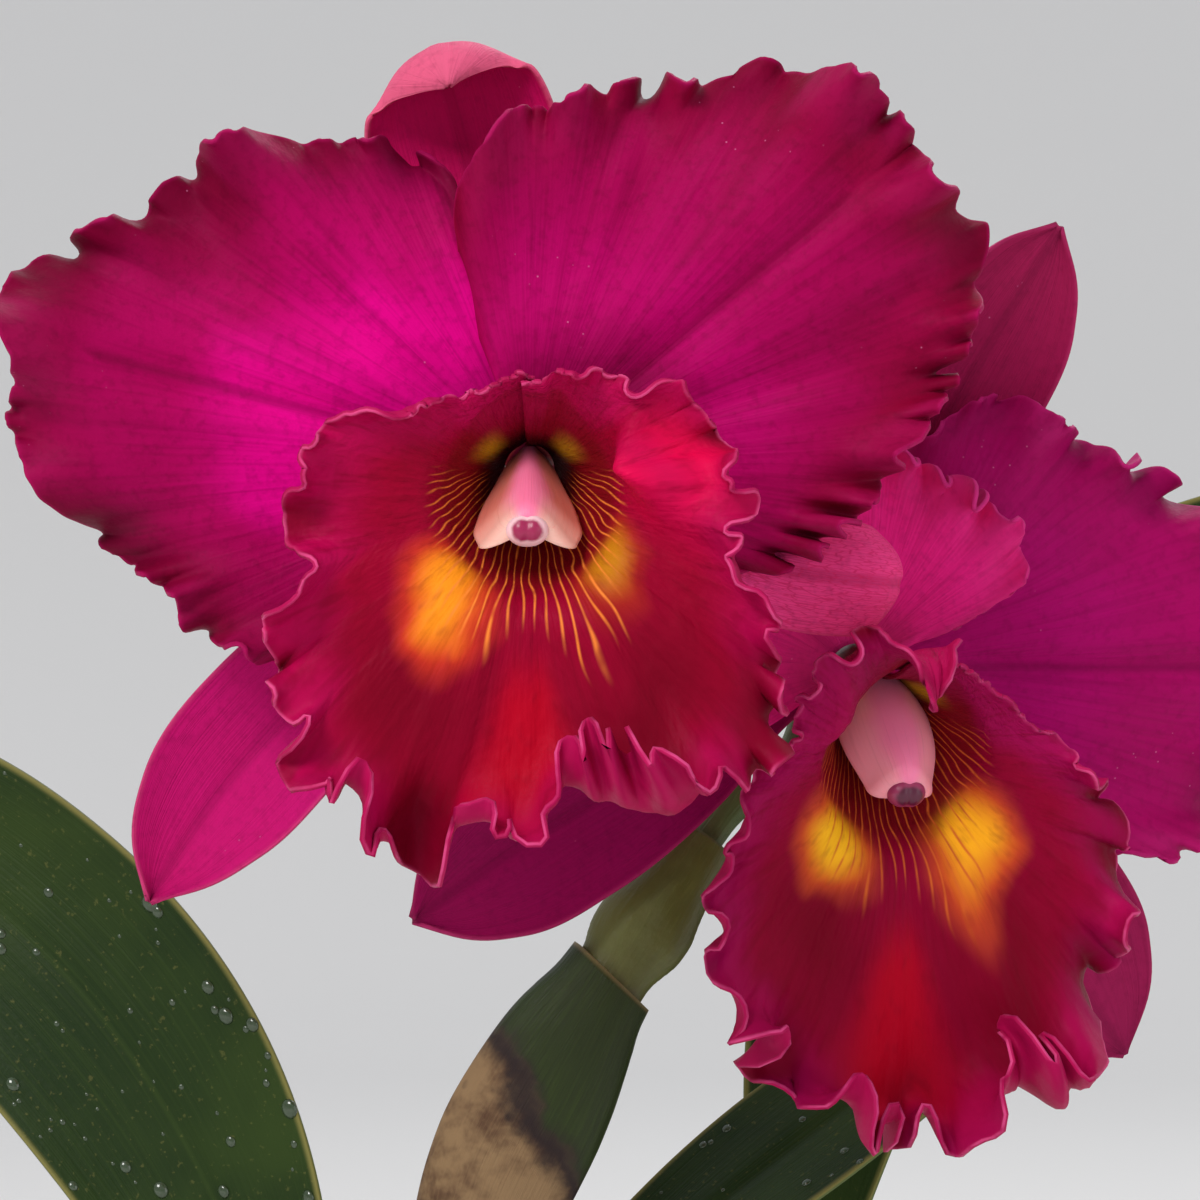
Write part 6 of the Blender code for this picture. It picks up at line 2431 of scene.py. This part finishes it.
def foliage() -> Foliage:
    """The leaves of the three leafy bulbs.

    Returns:
        Their shapes, their finish and their drops.
    """
    return Foliage(
        leaves={
            "leaf_left": LeafShape(
                base=(-0.0342, -0.001, 0.2149), heading=(-0.22, 0.02, 0.97), facing=(-0.1, -1, 0.1),
                length=0.182, half_width=0.0235, pitch=((0, 0), (0.5, -6), (1, -20)),
                turn=((0, 0), (0.3, 12), (0.6, 34), (1, 62)), seed=71,
            ),
            "leaf_flowering": LeafShape(
                base=(-0.006, 0.019, 0.2336), heading=(0.78, 0.33, 0.46), facing=(-0.5, -0.6, 0.62),
                length=0.14, half_width=0.016, pitch=((0, 0), (0.4, 8), (1, -10)),
                turn=((0, 0), (1, 0)), seed=72,
            ),
            "leaf_right": LeafShape(
                base=(0.0493, 0.0704, 0.2259), heading=(0.04, 0.06, 0.99), facing=(-0.1, -1, 0.1),
                length=0.214, half_width=0.0215, pitch=((0, 0), (0.5, -2), (1, -10)),
                turn=((0, 0), (0.3, -12), (0.6, -42), (1, -66)), seed=73,
            ),
        },
        finish=LeafFinish("waxy_leaf"),
        drops=(
            Drops("leaf_left", 120, (0.25, 0.97), 0.0003, 0.0015, 81),
            Drops("leaf_flowering", 40, (0.25, 0.97), 0.0003, 0.001, 82),
        ),
    )


def spike() -> Spike:
    """The flower stem, with the sleeves round it.

    Returns:
        Their shapes.
    """
    return Spike(
        path=(
            (-0.0105, 0.012, 0.233), (-0.01, 0.0105, 0.248), (-0.005, 0.0085, 0.268),
            (0.005, 0.008, 0.288),
            (0.016, 0.0085, 0.306), (0.027, 0.011, 0.322), (0.0385, 0.015, 0.338),
        ),
        radius=0.0031,
        sheath=Sleeve(
            ends=(0.02, 0.66),
            width=(
                (0, 0.0062), (0.12, 0.008), (0.4, 0.0116), (0.62, 0.0126), (0.85, 0.0106),
                (0.95, 0.0087), (1, 0.0083),
            ),
            depth=((0, 0.0054), (0.3, 0.006), (0.7, 0.0066), (1, 0.0062)), slope=-0.02,
        ),
        bract=Sleeve(
            ends=(0.64, 0.9),
            width=((0, 0.0064), (0.1, 0.0064), (0.35, 0.008), (0.65, 0.0068), (1, 0.0056)),
            depth=((0, 0.0046), (0.12, 0.0046), (0.5, 0.0056), (1, 0.0056)),
        ),
    )


def bulbs() -> dict[str, BulbShape]:
    """The pseudobulbs, from the growing end to the oldest.

    Returns:
        Their shapes by the names of their solids.
    """
    return {
        "pseudobulb_flowering": BulbShape((-0.002, 0.0115), (-0.01, 0.015, 0.232), 0.0118, 0.34, 91),
        "pseudobulb_left": BulbShape((-0.026, 0.003), (-0.034, -0.001, 0.214), 0.0112, 0.3, 92),
        "pseudobulb_right": BulbShape((0.02, 0.019), (0.049, 0.069, 0.224), 0.0114, 0.4, 93),
        "pseudobulb_old": BulbShape((0.042, 0.018), (0.052, 0.014, 0.166), 0.0096, 0.55, 94),
    }


def rootstock() -> Rootstock:
    """The rhizome with its roots.

    Returns:
        Its paths, and a knob at each bulb's foot.
    """
    return Rootstock(
        path=(
            (0.048, 0.0165, 0.096), (0.042, 0.018, 0.097), (0.02, 0.019, 0.097),
            (-0.002, 0.0115, 0.097), (-0.026, 0.003, 0.097), (-0.04, -0.003, 0.099),
        ),
        roots=(
            (
                (-0.028, 0, 0.097), (-0.031, -0.014, 0.0985),
                (-0.036, -0.027, 0.095), (-0.039, -0.034, 0.084),
            ),
            (
                (-0.01, 0.006, 0.096), (-0.008, -0.01, 0.0985),
                (-0.002, -0.026, 0.096), (0.003, -0.04, 0.084),
            ),
            (
                (0.014, 0.015, 0.096), (0.021, 0.002, 0.0985),
                (0.03, -0.012, 0.097), (0.036, -0.026, 0.084),
            ),
            (
                (-0.012, 0.01, 0.096), (-0.021, 0.021, 0.0985),
                (-0.03, 0.031, 0.096), (-0.035, 0.036, 0.084),
            ),
            (
                (0.01, 0.018, 0.096), (0.01, 0.032, 0.0985),
                (0.006, 0.042, 0.095), (0.003, 0.047, 0.084),
            ),
        ),
        knobs=tuple(shape.foot for shape in bulbs().values()),
    )


SKINS = {
    SkinKind.STEM: ((0.075, 0.125, 0.03), (0.13, 0.185, 0.055), (0.16, 0.07, 0.045)),
    SkinKind.BRACT: ((0.085, 0.09, 0.016), (0.13, 0.14, 0.03), (0.15, 0.085, 0.03)),
    SkinKind.BULB: ((0.075, 0.135, 0.03), (0.15, 0.2, 0.06), (0.16, 0.13, 0.05)),
}


def clear_scene() -> None:
    """Take the objects that Blender starts with out of the scene."""
    for obj in list(bpy.data.objects):
        bpy.data.objects.remove(obj, do_unlink=True)


def main() -> None:
    """Load the frame and build the plant, its pot and the studio round it."""
    logging.basicConfig(level=logging.INFO, format="%(message)s")
    clear_scene()
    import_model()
    skin = {kind: SkinFinish(kind, *colours).build() for kind, colours in SKINS.items()}
    for bloom in (bloom_a(), bloom_b()):
        bloom.build(skin[SkinKind.STEM])
    foliage().build()
    spike().build(skin[SkinKind.STEM], skin[SkinKind.BRACT])
    for name, shape in bulbs().items():
        dress(name, shape.body(), skin[SkinKind.BULB])
    rootstock().build()
    Pot().build()
    Studio().build()


if __name__ == "__main__":
    main()
